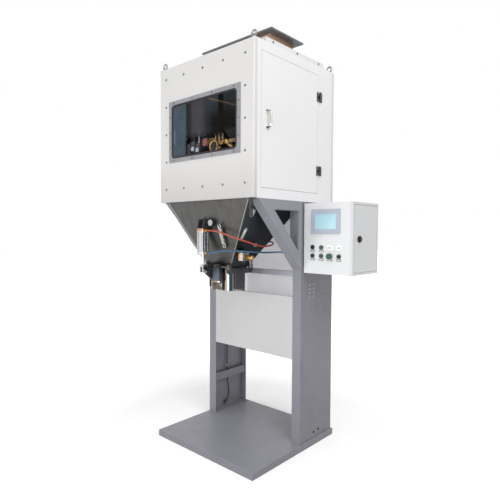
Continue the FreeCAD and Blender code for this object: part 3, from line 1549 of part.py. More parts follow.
save("discharge_hopper", make_hopper() + [make_corner_tab()])
save("spout", make_spout())
save("jaw_side_plates", [make_side_plate(1), make_side_plate(-1)])
save("front_jaw", make_jaw(-1))
save("rear_jaw", make_jaw(1))
save("front_rod", make_rod(-1))
save("rear_rod", make_rod(1))
solid_hopper = hopper_envelope(seat_gap)
clamp_cylinders = [make_cylinder(-1), make_cylinder(1)]
save("jaw_cylinders", clamp_cylinders)
save("cylinder_brackets", [bracket.cut(fuse([solid_hopper] + clamp_cylinders))
                           for bracket in (make_front_bracket(), make_rear_bracket())])
save("hose_fittings", make_fittings())
save("air_valve", make_air_valve())
save("red_hose", tube("red_hose", red_route(), hose_diameter))
save("blue_hose", tube("blue_hose", blue_route(), hose_diameter))
save("column_cable", tube("column_cable", cable_route(), cable_diameter))
save("cable_plug", make_plug())

save("feed_chute", make_chute())
save("feed_gate", make_gate())
save("weigh_hoppers", [make_weigh_hopper(1), make_weigh_hopper(-1)])
save("left_flap", make_flap(-1))
save("right_flap", make_flap(1))
save("flap_actuators", make_actuators())
save("load_cells", make_load_cells())
save("weigh_beam", make_weigh_beam())
save("valve_manifold", make_manifold())

save("control_box", make_control_box())
save("box_brackets", make_box_brackets())
save("control_box_door", make_box_door())
save("cam_lock", make_lock())
bezel, screen = make_hmi()
save("panel_bezel", bezel)
save("panel_screen", screen)
bezels, lamps = [], []
for k, (x, z) in enumerate(button_places()):
    bezels.append(make_bezel(x, z, is_large(k)))
    if k in (6, 7):
        lamps.append(make_lamp(x, z))
    else:
        save("button_" + str(k + 1), make_button(x, z, is_large(k)))
save("button_bezels", bezels)
save("pilot_lamps", lamps)
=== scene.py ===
"""Looks of a floor-standing weighing and bagging machine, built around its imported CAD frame."""
import math

import bmesh
import bpy
from bpy.props import FloatProperty, FloatVectorProperty, PointerProperty
from mathutils import Matrix, Vector


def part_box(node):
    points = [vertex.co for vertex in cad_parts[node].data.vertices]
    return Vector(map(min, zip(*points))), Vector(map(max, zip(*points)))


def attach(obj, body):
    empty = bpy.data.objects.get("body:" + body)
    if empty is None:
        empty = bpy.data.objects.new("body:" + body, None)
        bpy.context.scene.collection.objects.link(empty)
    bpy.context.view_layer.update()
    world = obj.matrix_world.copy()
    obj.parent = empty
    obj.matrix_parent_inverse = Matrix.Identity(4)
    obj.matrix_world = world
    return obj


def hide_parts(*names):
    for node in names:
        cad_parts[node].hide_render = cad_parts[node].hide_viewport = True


bl_info = {
    "name": "Weighing Bagging Machine",
    "version": (1, 0, 0),
    "blender": (4, 5, 0),
    "location": "View3D > Sidebar > Bagger",
    "description": "Dresses the bagging machine's CAD frame with finishes, hoses and small hardware",
    "category": "Object",
}

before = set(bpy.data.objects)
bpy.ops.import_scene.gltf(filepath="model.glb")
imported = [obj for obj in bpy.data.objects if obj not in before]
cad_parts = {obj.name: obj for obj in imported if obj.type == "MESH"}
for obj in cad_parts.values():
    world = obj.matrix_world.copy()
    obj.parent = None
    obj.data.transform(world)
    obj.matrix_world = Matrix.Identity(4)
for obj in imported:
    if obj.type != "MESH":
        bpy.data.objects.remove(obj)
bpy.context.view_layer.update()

FINISH_MARK = " finish"
UP = Vector((0, 0, 1))
DOWN, FRONT, RIGHT = (0, 0, -1), (0, -1, 0), (1, 0, 0)
ORIGIN = (0, 0, 0)
WHITE = (1, 1, 1, 1)
SMOOTH_ANGLE = math.radians(35)
BEVEL_ANGLE = math.radians(40)

# Places read from the CAD, in metres
SPOUT_Y = -0.187
JAW_PIVOT_Z = 1.15
HOPPER_FOOT_Z, HOPPER_HEIGHT = 1.141, 0.409
HOPPER_FOOT_Y, HOPPER_TOP_Y = -0.257, -0.378
HOPPER_FOOT_HALF, HOPPER_FLARE, HOPPER_FOLD = 0.105, 0.6357, 0.006
BUTTON_COLUMNS, LOWER_BUTTONS_Z, UPPER_BUTTONS_Z = (0.481, 0.5415, 0.602, 0.6625), 1.2225, 1.273


# Tools for picking and shaping

def set_mode(mode):
    """Goes to object mode or edit mode."""
    bpy.ops.object.mode_set(mode=mode)


def select_only(*pieces):
    """Selects these pieces and nothing else, the first one active."""
    bpy.ops.object.select_all(action="DESELECT")
    for piece in pieces:
        piece.select_set(True)
    bpy.context.view_layer.objects.active = pieces[0]


def settle(name):
    """Names the active object and leaves its place in its mesh, with the object at the origin."""
    piece = bpy.context.active_object
    select_only(piece)
    bpy.ops.object.transform_apply(location=True, rotation=True, scale=True)
    piece.name = name
    piece.data.name = name
    return piece


def joined(pieces, name):
    """Joins pieces into one object of that name, with its place in its mesh."""
    select_only(*pieces)
    bpy.ops.object.transform_apply(location=True, rotation=True, scale=True)
    bpy.ops.object.join()
    return settle(name)


def copies_at(piece, offsets, name):
    """Copies a finished piece to each offset, each with its own mesh, under one name."""
    whole = []
    for offset in offsets:
        select_only(piece)
        bpy.ops.object.duplicate(linked=False)
        copy = bpy.context.active_object
        copy.location = offset
        whole.append(copy)
    bpy.data.objects.remove(piece)
    return joined(whole, name)


def soften(piece, width):
    """Rounds the sharp edges with a bevel modifier and applies it."""
    select_only(piece)
    bpy.ops.object.modifier_add(type="BEVEL")
    modifier = piece.modifiers[-1]
    modifier.width = width
    modifier.segments = 2
    modifier.limit_method = "ANGLE"
    modifier.angle_limit = BEVEL_ANGLE
    bpy.ops.object.modifier_apply(modifier=modifier.name)
    bpy.ops.object.shade_smooth_by_angle(angle=SMOOTH_ANGLE)


def inset_faces(piece, facing, thickness, depth=0, rise=0):
    """Sets in the faces that look one way, pushed by a depth, and draws them upward by a rise."""
    select_only(piece)
    set_mode("EDIT")
    mesh = bmesh.from_edit_mesh(piece.data)
    for face in mesh.faces:
        face.select_set(False)
    for face in mesh.faces:
        if face.normal.dot(Vector(facing)) > 0.99:
            face.select_set(True)
    mesh.select_flush_mode()
    bmesh.update_edit_mesh(piece.data)
    bpy.ops.mesh.inset(thickness=thickness, depth=depth)
    if rise:
        bpy.ops.mesh.extrude_region_move(TRANSFORM_OT_translate={"value": UP * rise})
    set_mode("OBJECT")


def stretch(piece, factors, middle):
    """Stretches a whole piece about a point."""
    select_only(piece)
    set_mode("EDIT")
    bpy.ops.mesh.select_all(action="SELECT")
    bpy.ops.transform.resize(value=factors, center_override=middle)
    set_mode("OBJECT")


def turn_to(axis):
    """The turn that takes the upward direction to a unit axis."""
    return UP.rotation_difference(axis).to_euler()


def cube(name, low, high, bevel=0):
    """A block between two corners, with its edges broken."""
    low, high = Vector(low), Vector(high)
    bpy.ops.mesh.primitive_cube_add(size=1, location=(low + high) / 2, scale=high - low)
    piece = settle(name)
    if bevel:
        soften(piece, bevel)
    return piece


def stepped_block(name, low, high, step):
    """A moulded block whose front and top step inward."""
    piece = cube(name, low, high)
    inset_faces(piece, UP, step, rise=step)
    inset_faces(piece, FRONT, step * 0.7, -0.0012)
    soften(piece, 0.0008)
    return piece


def turned(name, start, axis, steps, sides=24):
    """A turned part: steps are (advance, radius) in millimetres from the start along the axis."""
    start, axis = Vector(start), Vector(axis).normalized()
    steps = [(advance / 1000, radius / 1000) for advance, radius in steps]
    reach, radius = steps[0]
    bpy.ops.mesh.primitive_circle_add(vertices=sides, radius=radius, fill_type="NGON",
                                      location=start + axis * reach, rotation=turn_to(axis))
    piece = settle(name)
    set_mode("EDIT")
    bpy.ops.mesh.select_all(action="SELECT")
    for advance, wide in steps[1:]:
        bpy.ops.mesh.extrude_region_move(TRANSFORM_OT_translate={"value": axis * (advance - reach)})
        if wide != radius:
            bpy.ops.transform.resize(value=(wide / radius,) * 3, center_override=start + axis * advance)
        reach, radius = advance, wide
    bpy.ops.mesh.select_all(action="SELECT")
    bpy.ops.mesh.normals_make_consistent(inside=False)
    set_mode("OBJECT")
    bpy.ops.object.shade_smooth_by_angle(angle=SMOOTH_ANGLE)
    return piece


def bolt(name, seat, axis, across, height):
    """A hexagon bolt head on its washer, across its flats and with its height in millimetres."""
    seat, axis = Vector(seat), Vector(axis).normalized()
    rim, corner = across * 0.92, across * 0.577
    washer = turned(name + "_washer", seat - axis * 0.0004, axis, [(0, rim), (1.1, rim), (1.6, across * 0.86)])
    head = turned(name, seat, axis, [(1, corner), (height * 0.8, corner), (height, across * 0.48)], 6)
    return joined([head, washer], name)


def screw(name, axis, radius):
    """A pan-head screw at the origin with its driver recess, its radius in millimetres."""
    profile = ((0.35, 1), (0.62, 0.86), (0.74, 0.55), (0.74, 0.42), (0.42, 0.34))
    steps = [(-0.4, radius)] + [(radius * advance, radius * wide) for advance, wide in profile]
    return turned(name, ORIGIN, axis, steps, 16)


def ring_of(name, middle, axis, radius, wire):
    """A closed ring of round wire about an axis."""
    bpy.ops.mesh.primitive_torus_add(major_segments=28, minor_segments=10, major_radius=radius, minor_radius=wire,
                                     location=middle, rotation=turn_to(Vector(axis).normalized()))
    piece = settle(name)
    bpy.ops.object.shade_smooth()
    return piece


def coil_piece(name, start, end, radius, wire, turns):
    """A tension spring between two points: a wound wire with a ring at each end."""
    axis = (end - start).normalized()
    bpy.ops.mesh.primitive_circle_add(vertices=8, radius=wire, location=(radius, 0, 0),
                                      rotation=(math.radians(90), 0, 0))
    coil = settle(name)
    bpy.ops.object.modifier_add(type="SCREW")
    winding = coil.modifiers[-1]
    winding.axis = "Z"
    winding.steps = winding.render_steps = 16
    winding.iterations = turns
    winding.screw_offset = ((end - start).length - 4 * radius) / turns
    bpy.ops.object.modifier_apply(modifier=winding.name)
    set_mode("EDIT")
    bpy.ops.mesh.select_all(action="DESELECT")
    bpy.ops.mesh.select_mode(type="EDGE")
    bpy.ops.mesh.select_non_manifold()
    bpy.ops.mesh.fill()
    bpy.ops.mesh.select_all(action="SELECT")
    bpy.ops.mesh.normals_make_consistent(inside=False)
    set_mode("OBJECT")
    bpy.ops.object.shade_smooth_by_angle(angle=math.radians(60))
    coil.rotation_euler = turn_to(axis)
    coil.location = start + axis * 2 * radius
    settle(name)
    across = axis.cross(Vector((0, 1, 0))).normalized()
    rings = [ring_of(name + "_eye", point, axis.cross(across), radius * 0.95, wire)
             for point in (start + axis * radius, end - axis * radius)]
    return joined([coil] + rings, name)


def finish(name):
    """The finish of that name."""
    return bpy.data.materials[name + FINISH_MARK]


def dress(piece, look, body="machine"):
    """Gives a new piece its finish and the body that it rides."""
    piece.data.materials.clear()
    piece.data.materials.append(finish(look))
    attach(piece, body)


# Shader tools, where a value is a plain one or another node's output

def feed(node, values):
    """Sets or links inputs of a node."""
    for key, value in values.items():
        if hasattr(value, "is_output"):
            node.id_data.links.new(value, node.inputs[key])
        else:
            node.inputs[key].default_value = value


def add_node(tree, kind, values=None, **settings):
    """Adds one shader node with its settings and its inputs."""
    node = tree.nodes.new(kind)
    for key, value in settings.items():
        setattr(node, key, value)
    feed(node, values or {})
    return node


def place_of(tree):
    """The object coordinate."""
    return add_node(tree, "ShaderNodeTexCoord").outputs["Object"]


def axes_of(tree):
    """The object coordinate along each axis, in metres."""
    split = add_node(tree, "ShaderNodeSeparateXYZ", {0: place_of(tree)})
    return {axis: split.outputs[axis] for axis in "XYZ"}


def noise_of(vector, scale, detail=4, rough=0.55):
    """A noise read on a vector."""
    return add_node(vector.id_data, "ShaderNodeTexNoise", {
        "Vector": vector, "Scale": scale, "Detail": detail, "Roughness": rough}).outputs["Fac"]


def ramp_of(value, low, high, to_low=0, to_high=1):
    """Maps an output from one span to another, held at both ends."""
    return add_node(value.id_data, "ShaderNodeMapRange", {
        "Value": value, "From Min": low, "From Max": high, "To Min": to_low, "To Max": to_high},
        clamp=True).outputs["Result"]


def mix_of(factor, first, second, blend="MIX"):
    """Mixes two colours by an output."""
    return add_node(factor.id_data, "ShaderNodeMix", {0: factor, 6: first, 7: second},
                    data_type="RGBA", blend_type=blend).outputs[2]


def math_of(operation, *values):
    """One math node, whose first value is an output."""
    return add_node(values[0].id_data, "ShaderNodeMath", dict(enumerate(values)), operation=operation).outputs[0]


def product(first, *others):
    """An output times other values."""
    for value in others:
        first = math_of("MULTIPLY", first, value)
    return first


def mask_of(axes, *spans):
    """The product of spans, each an axis with the place of nought and the place of one."""
    return product(*(ramp_of(axes[axis], nought, one) for axis, nought, one in spans))


def strip(axis, low, high, soft=0.001):
    """The two spans of a strip along an axis, with soft edges."""
    return (axis, low - soft, low + soft), (axis, high + soft, high - soft)


def seen_rays(tree):
    """One for camera, glossy and transmission rays, and nought for the light that falls on things."""
    path = add_node(tree, "ShaderNodeLightPath").outputs
    mirrored = math_of("MAXIMUM", path["Is Glossy Ray"], path["Is Transmission Ray"])
    return math_of("MAXIMUM", path["Is Camera Ray"], mirrored)


def start_group(name, colours, numbers, vectors=(), results=("Roughness", "Height")):
    """Starts a node group with named sockets and returns its tree and what it is given."""
    tree = bpy.data.node_groups.new(name, "ShaderNodeTree")
    for way, kind, sockets in (("INPUT", "Color", colours), ("INPUT", "Float", numbers), ("INPUT", "Vector", vectors),
                               ("OUTPUT", "Color", ("Color",)), ("OUTPUT", "Float", results)):
        for socket in sockets:
            tree.interface.new_socket(name=socket, in_out=way, socket_type="NodeSocket" + kind)
    return tree, tree.nodes.new("NodeGroupInput").outputs


def make_coated_group():
    """Sprayed or powder coat: slow cloudiness, fine orange peel and uneven gloss."""
    tree, given = start_group("coated_skin", ("Paint", "Shade"),
                              ("Cloud Scale", "Peel Scale", "Gloss Low", "Gloss High"))
    place = place_of(tree)
    smudge = noise_of(place, 14, 5, 0.65)
    patch = ramp_of(noise_of(place, given["Cloud Scale"], 3, 0.5), 0.35, 0.7)
    tone = mix_of(patch, given["Paint"], given["Shade"])
    add_node(tree, "NodeGroupOutput", {
        "Color": mix_of(ramp_of(smudge, 0.68, 0.8, 0, 0.12), tone, given["Shade"]),
        "Roughness": ramp_of(smudge, 0.35, 0.7, given["Gloss Low"], given["Gloss High"]),
        "Height": noise_of(place, given["Peel Scale"], 2, 0.5)})
    return tree


def make_brushed_group():
    """Sheet steel: grain drawn out along one direction, faint streaks and blotches."""
    tree, given = start_group("brushed_sheet", ("Metal", "Streak"), ("Grain Scale", "Gloss Low", "Gloss High"),
                              ("Stretch",))
    place = place_of(tree)
    drawn = add_node(tree, "ShaderNodeMapping", {"Vector": place, "Scale": given["Stretch"]}).outputs["Vector"]
    grain = noise_of(drawn, given["Grain Scale"], 3, 0.6)
    share = product(ramp_of(noise_of(drawn, 26, 3, 0.55), 0.38, 0.66),
                    ramp_of(noise_of(place, 6, 4, 0.6), 0.3, 0.75, 0.35, 1))
    add_node(tree, "NodeGroupOutput", {
        "Color": mix_of(share, given["Metal"], given["Streak"]),
        "Roughness": ramp_of(grain, 0.3, 0.7, given["Gloss Low"], given["Gloss High"]), "Height": grain})
    return tree


def make_moulded_group():
    """Moulded plastic or rubber: spark-eroded texture, flow shading and handling gloss."""
    tree, given = start_group("moulded_skin", ("Base", "Worn"), ("Texture Scale", "Gloss Low", "Gloss High"))
    place = place_of(tree)
    pits = add_node(tree, "ShaderNodeTexVoronoi", {"Vector": place, "Scale": given["Texture Scale"]}, feature="F1")
    flow = noise_of(place, 45, 4, 0.6)
    add_node(tree, "NodeGroupOutput", {
        "Color": mix_of(ramp_of(flow, 0.45, 0.75), given["Base"], given["Worn"]),
        "Roughness": ramp_of(flow, 0.35, 0.7, given["Gloss Low"], given["Gloss High"]),
        "Height": pits.outputs["Distance"]})
    return tree


def make_dust_group():
    """Floor dust and scuffs that thin out with height above a level."""
    tree, given = start_group("dust_film", ("Color", "Dust"), ("Low", "High", "Amount"), results=())
    fall = ramp_of(axes_of(tree)["Z"], given["Low"], given["High"], 1, 0)
    patch = ramp_of(noise_of(place_of(tree), 9, 6, 0.7), 0.35, 0.75)
    add_node(tree, "NodeGroupOutput", {
        "Color": mix_of(product(fall, patch, given["Amount"]), given["Color"], given["Dust"])})
    return tree


def opaque(colour, factor=1):
    """A colour, made lighter or darker by a factor, as the four numbers that a socket takes."""
    return (*(part * factor for part in colour[:3]), 1)


def blank_material(name, **plain):
    """A material with one Principled shader whose plain values are set on its own sockets."""
    material = bpy.data.materials.new(name + FINISH_MARK)
    material.use_nodes = True
    shader = material.node_tree.nodes["Principled BSDF"]
    feed(shader, {key.replace("_", " "): value for key, value in plain.items()})
    return material, material.node_tree, shader


def skin_material(name, group, low, high, bump, distance, values, dust=None, **plain):
    """A material whose colour, bump and roughness, from low to high, come from one of the skin groups."""
    material, tree, shader = blank_material(name, **plain)
    skin = add_node(tree, "ShaderNodeGroup", node_tree=group)
    feed(skin, {**values, "Gloss Low": low, "Gloss High": high})
    colour = skin.outputs["Color"]
    if dust:
        film = add_node(tree, "ShaderNodeGroup", node_tree=bpy.data.node_groups["dust_film"])
        feed(film, {**dust, "Color": colour})
        colour = film.outputs["Color"]
    relief = add_node(tree, "ShaderNodeBump", {
        "Strength": bump, "Distance": distance, "Height": skin.outputs["Height"]})
    feed(shader, {"Base Color": colour, "Roughness": skin.outputs["Roughness"], "Normal": relief.outputs["Normal"]})
    return material


def base_of(material):
    """A material's shader and the output that its base colour comes from."""
    shader = material.node_tree.nodes["Principled BSDF"]
    return shader, shader.inputs["Base Color"].links[0].from_socket


def recolour(material, mask, colour, blend="MIX"):
    """Lays a colour over a material's base colour where the mask is one."""
    shader, under = base_of(material)
    feed(shader, {"Base Color": mix_of(mask, under, opaque(colour), blend)})


def glow_as_painted_light(material, strength):
    """Painted light: lets a material give off a little of its own colour, though it is no lamp."""
    shader, tone = base_of(material)
    feed(shader, {"Emission Color": tone, "Emission Strength": strength})


def stops_over(value, low, high, stops):
    """A colour that runs through stops (place, colour) as an output goes from low to high."""
    node = add_node(value.id_data, "ShaderNodeValToRGB", {"Fac": ramp_of(value, low, high)})
    row = node.color_ramp.elements
    for place, colour in stops[1:-1]:
        row.new((place - low) / (high - low))
    for entry, (place, colour) in zip(row, stops):
        entry.position = (place - low) / (high - low)
        entry.color = opaque(colour)
    return node.outputs["Color"]


# Settings

def colour_property(name, description, default):
    """A colour property with its name, description and default."""
    return FloatVectorProperty(name=name, description=description, default=default,
                               subtype="COLOR", size=3, min=0, max=1)


def length_property(name, description, default):
    """A length in metres with its name, description and default."""
    return FloatProperty(name=name, description=description, default=default, unit="LENGTH")


class MachineColours(bpy.types.PropertyGroup):
    """Colours of the machine's finishes."""
    frame_grey: colour_property("Frame grey", "Powder coat of the base, columns and gussets", (0.245, 0.248, 0.28))
    panel_grey: colour_property("Panel grey", "Light coat of the panels between the columns", (0.6, 0.6, 0.605))
    cabinet_white: colour_property("Cabinet white", "Coat of the weigher cabinet", (0.8, 0.8, 0.81))
    box_white: colour_property("Control box white", "Coat of the control box", (0.755, 0.762, 0.772))
    trim_grey: colour_property("Window trim", "Anodised frame of the window", (0.3, 0.3, 0.325))
    hopper_steel: colour_property("Hopper steel", "Stainless sheet of the discharge hopper", (0.088, 0.087, 0.086))
    button_green: colour_property("Button green", "Start buttons", (0.008, 0.08, 0.038))
    button_black: colour_property("Button black", "Plain push buttons", (0.006, 0.006, 0.007))
    screen_blue: colour_property("Screen blue", "Lit panel screen", (0.345, 0.555, 0.62))
    bezel_grey: colour_property("Bezel grey", "Moulded frame of the screen", (0.43, 0.47, 0.54))
    hose_red: colour_property("Hose red", "Air line to the upper ports", (0.56, 0.085, 0.035))
    hose_blue: colour_property("Hose blue", "Air line to the lower port", (0.03, 0.11, 0.205))


class MachineSizes(bpy.types.PropertyGroup):
    """Sizes of the parts that are added to the CAD frame."""
    hose_diameter: length_property("Hose diameter", "Outside diameter of the air lines", 0.01)
    cable_diameter: length_property("Cable diameter", "Outside diameter of the column cable", 0.008)
    plate_width: length_property("Legend plate width", "Width of the blank plate under a button", 0.031)
    plate_height: length_property("Legend plate height", "Height of the blank plate under a button", 0.0118)
    floor_size: length_property("Floor size", "Side of the studio floor", 60)
    lens: FloatProperty(name="Lens", description="Focal length on a 36 mm sensor", default=33.02, unit="CAMERA")


# Finishes

def make_finishes(colours):
    """Makes every finish once, each with the CAD nodes that it dresses."""
    made = {}
    coated, brushed, moulded = make_coated_group(), make_brushed_group(), make_moulded_group()
    make_dust_group()

    def keep(name, nodes, material):
        made[name] = material
        for node in nodes.split():
            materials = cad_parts[node].data.materials
            materials.clear()
            materials.append(material)

    def coat(name, nodes, paint, shade=0.93, cloud=2.5, low=0.38, high=0.55, peel=420, bump=0.06, dust=None):
        keep(name, nodes, skin_material(name, coated, low, high, bump, 0.0004, {
            "Paint": opaque(paint), "Shade": opaque(paint, shade), "Cloud Scale": cloud, "Peel Scale": peel}, dust))

    def metal(name, nodes, tone, streak, low, high, run=(1, 1, 1), grain=260):
        keep(name, nodes, skin_material(name, brushed, low, high, 0.08, 0.0003, {
            "Metal": opaque(tone), "Streak": opaque(streak), "Stretch": run, "Grain Scale": grain}, Metallic=1))

    def mould(name, nodes, base, worn, low, high, texture=900, bump=0.12, **plain):
        keep(name, nodes, skin_material(name, moulded, low, high, bump, 0.0002, {
            "Base": opaque(base), "Worn": opaque(worn), "Texture Scale": texture}, **plain))

    enamel = (0.965, 1.2, 0.28, 0.4, 300)
    enamelled_black = ((0.022, 0.024, 0.028), 1.8, 24, 0.28, 0.45, 700)
    dust = {"Dust": (0.42, 0.41, 0.42, 1), "Low": 0, "High": 0.35, "Amount": 0.22}
    base_dust = {"Dust": (0.36, 0.355, 0.37, 1), "Low": 0.02, "High": 0.12, "Amount": 0.35}
    coat("frame_coat", "left_column right_column", colours.frame_grey, dust=dust)
    coat("rail_coat", "cross_rail", opaque(colours.frame_grey, 1.6))
    coat("gusset_coat", "left_gusset right_gusset", opaque(colours.frame_grey, 1.14), dust=dust)
    coat("base_coat", "base_plate", (0.3, 0.302, 0.345), 0.92, 1.6, dust=base_dust)
    coat("front_panel_coat", "front_panel", colours.panel_grey, 0.95)
    coat("back_panel_coat", "back_panel", (0.8, 0.79, 0.82), 0.95)
    coat("cabinet_coat", "cabinet_shell cabinet_door", colours.cabinet_white, *enamel)
    coat("cover_coat", "front_cover rear_cover", (0.712, 0.703, 0.696), *enamel)
    coat("lid_coat", "roof_lid", colours.cabinet_white, *enamel)
    coat("neck_coat", "inlet_flange", (0.15, 0.152, 0.158), 0.75, 5, 0.4, 0.55)
    coat("box_coat", "control_box box_brackets control_box_door", colours.box_white, 0.965, 2, 0.3, 0.42, 300)
    coat("hinge_black", "hinge_leaves door_hinge_pins", (0.02, 0.02, 0.022), 0.8, 30, 0.3, 0.45)
    coat("clamp_black", "jaw_side_plates cylinder_brackets", *enamelled_black)
    coat("jaw_black", "front_jaw rear_jaw", *enamelled_black)
    coat("beam_coat", "weigh_beam", (0.05, 0.052, 0.058), 1.3, 8)
    coat("trim_metal", "window_frame", colours.trim_grey, 0.86, 14, 0.42, 0.58, 620, 0.04)
    coat("brace_tan", "", (0.8, 0.44, 0.24), 0.7, 30)
    # Pale sheet behind the vent holes, which glows as painted light
    coat("vent_painted_light", "", (0.72, 0.74, 0.78), 0.9, 30)
    metal("screw_steel", "cover_screws", (0.2, 0.2, 0.2), (0.1, 0.09, 0.08), 0.3, 0.5, grain=900)
    metal("eye_steel", "lifting_eyes", (0.36, 0.36, 0.36), (0.14, 0.135, 0.13), 0.3, 0.5, grain=500)
    metal("spring_steel", "", (0.72, 0.7, 0.64), (0.4, 0.39, 0.36), 0.2, 0.4, grain=500)
    metal("pad_steel", "", (0.14, 0.12, 0.095), (0.035, 0.045, 0.05), 0.16, 0.4, (2.2, 2.2, 0.9))
    metal("handle_chrome", "door_handle", (0.62, 0.62, 0.64), (0.5, 0.5, 0.52), 0.08, 0.2, (1, 1, 0.1))
    metal("rod_chrome", "front_rod rear_rod", (0.52, 0.52, 0.54), (0.38, 0.38, 0.4), 0.08, 0.18, (0.1, 0.1, 1))
    metal("hopper_sheet", "discharge_hopper", colours.hopper_steel, (0.064, 0.061, 0.055), 0.3, 0.46, (1, 1, 0.03))
    metal("spout_sheet", "spout", (0.3, 0.29, 0.28), (0.2, 0.16, 0.13), 0.12, 0.24, (1.6, 1.6, 0.02))
    metal("inner_sheet", "feed_chute feed_gate weigh_hoppers left_flap right_flap", (0.34, 0.345, 0.36),
          (0.22, 0.22, 0.23), 0.3, 0.5, (1, 1, 0.05))
    metal("cylinder_alloy", "jaw_cylinders", (0.6, 0.62, 0.65), (0.48, 0.5, 0.53), 0.16, 0.3, (1, 1, 0.02))
    metal("cell_alloy", "load_cells", (0.45, 0.46, 0.48), (0.36, 0.36, 0.38), 0.3, 0.45, (0.1, 1, 1))
    metal("valve_alloy", "air_valve", (0.46, 0.45, 0.44), (0.36, 0.32, 0.28), 0.3, 0.45)
    metal("brass", "hose_fittings", (0.5, 0.33, 0.12), (0.34, 0.21, 0.08), 0.2, 0.4, grain=500)
    metal("works_brass", "", (0.62, 0.42, 0.15), (0.36, 0.22, 0.08), 0.2, 0.4, grain=500)
    metal("works_metal", "valve_manifold", (0.03, 0.03, 0.032), (0.1, 0.095, 0.09), 0.25, 0.5, grain=420)
    metal("bezel_ring", "button_bezels", (0.12, 0.12, 0.125), (0.2, 0.2, 0.2), 0.25, 0.4, grain=700)
    mould("strip_tan", "", (0.46, 0.24, 0.12), (0.62, 0.5, 0.34), 0.4, 0.6, 300)
    mould("works_brown", "", (0.26, 0.085, 0.06), (0.16, 0.05, 0.04), 0.4, 0.6)
    mould("throttle_grey", "", (0.16, 0.2, 0.24), (0.24, 0.28, 0.32), 0.3, 0.45)
    mould("clip_white", "", (0.72, 0.72, 0.72), (0.62, 0.62, 0.62), 0.35, 0.5)
    mould("plate_white", "", (0.74, 0.74, 0.74), (0.66, 0.66, 0.66), 0.35, 0.5)
    mould("seal_rubber", "window_gasket", (0.006, 0.006, 0.007), (0.014, 0.014, 0.015), 0.65, 0.85, 500)
    mould("cable_rubber", "", (0.012, 0.012, 0.014), (0.03, 0.03, 0.03), 0.45, 0.6, 600)
    mould("valve_plastic", "flap_actuators cable_plug", (0.015, 0.015, 0.017), (0.04, 0.04, 0.042), 0.4, 0.6)
    mould("bezel_plastic", "panel_bezel", colours.bezel_grey, (0.46, 0.5, 0.56), 0.4, 0.6)
    mould("button_black", "cam_lock button_1 button_4 button_5", colours.button_black, (0.012, 0.012, 0.013), 0.25,
          0.4, Specular_IOR_Level=0.2)
    mould("button_green", "button_2 button_3 button_6", colours.button_green, (0.012, 0.11, 0.055), 0.25, 0.4,
          Specular_IOR_Level=0.3)
    mould("lamp_lens", "pilot_lamps", (0.5, 0.57, 0.54), (0.45, 0.52, 0.48), 0.1, 0.2, 240, 0.3)
    mould("red_tube", "", opaque(colours.hose_red, 0.74), (0.42, 0.095, 0.045), 0.3, 0.45, 300, 0.05)
    mould("blue_tube", "", colours.hose_blue, (0.032, 0.11, 0.2), 0.3, 0.45, 300, 0.05)
    add_form_tones(made)
    # Painted light: the back panel's front face above the front panel, the brace behind the window and the vent sheet
    # glow with their own colour
    axes = axes_of(made["back_panel_coat"].node_tree)
    lit = product(mask_of(axes, ("Y", 0.3942, 0.3934), ("Z", 0.87, 0.9)), ramp_of(axes["Z"], 0.92, 1.04, 0.4, 0.27))
    for name, strength in (("brace_tan", 2.4), ("vent_painted_light", 1), ("back_panel_coat", lit)):
        glow_as_painted_light(made[name], strength)
    keep("window_pane", "window_glass", make_window_pane())
    keep("screen_face", "panel_screen", make_screen_face(colours.screen_blue))


# Tones by a piece's form: finish, colour and the mask's spans, each from nought to one, in metres; the first table
# multiplies in painted light and shade
PAINTED_LIGHT_AND_SHADE = (
    # A lighter right side on the cabinet, and painted shade on the right sides of the box and columns, the base's
    # side faces, the cover's lower part and the cylinders' left half
    ("cabinet_coat", (1.085, 1.085, 1.085), ("X", 0.408, 0.409)),
    ("box_coat", (0.87, 0.87, 0.87), ("X", 0.734, 0.735)),
    ("frame_coat", (0.8, 0.8, 0.8), ("X", 0.408, 0.409)),
    ("base_coat", (0.72, 0.72, 0.72), ("Z", 0.0395, 0.0385)),
    ("cover_coat", (0.81, 0.805, 0.8), ("Z", 1.8, 1.56)),
    ("cylinder_alloy", (0.84, 0.8, 0.7), ("X", -0.0325, -0.0345)),
)
PATCHES_AND_PAINTED_SHADE = (
    ("cylinder_alloy", (0.62, 0.3, 0.17), ("Z", 1.366, 1.37)),
    ("handle_chrome", (0.66, 0.64, 0.58), *strip("Z", 1.946, 2.026)),
    ("handle_chrome", (0.16, 0.16, 0.165), ("Z", 1.945, 1.943)),
    ("handle_chrome", (0.16, 0.16, 0.165), ("Z", 2.027, 2.029)),
    ("lid_coat", (0.5, 0.35, 0.22), ("Z", 2.4315, 2.4325)),
    # Painted shade on the rear part of the lid's brown neck
    ("lid_coat", (0.27, 0.17, 0.1), ("Z", 2.4315, 2.4325), ("Y", -0.05, 0.15)),
    ("valve_alloy", (0.48, 0.29, 0.165), ("X", 0.188, 0.186)),
    ("valve_alloy", (0.02, 0.02, 0.022), ("Z", 1.2396, 1.2404)),
    ("works_metal", (0.36, 0.19, 0.07), ("X", 0.052, 0.054)),
    ("bezel_ring", (0.78, 0.8, 0.8), ("X", 0.568, 0.572), ("Z", 1.246, 1.25)),
)
# Painted reflections and a painted highlight on the spout's rounded corner, by the distance from its middle in
# metres, with their colours
SPOUT_PAINTED_REFLECTIONS = (
    (0.03, 0.064, (0.13, 0.09, 0.06)), (0.066, 0.074, (0.19, 0.2, 0.215)),
    (0.078, 0.095, (0.022, 0.05, 0.056)), (0.097, 0.102, (0.24, 0.16, 0.13)))


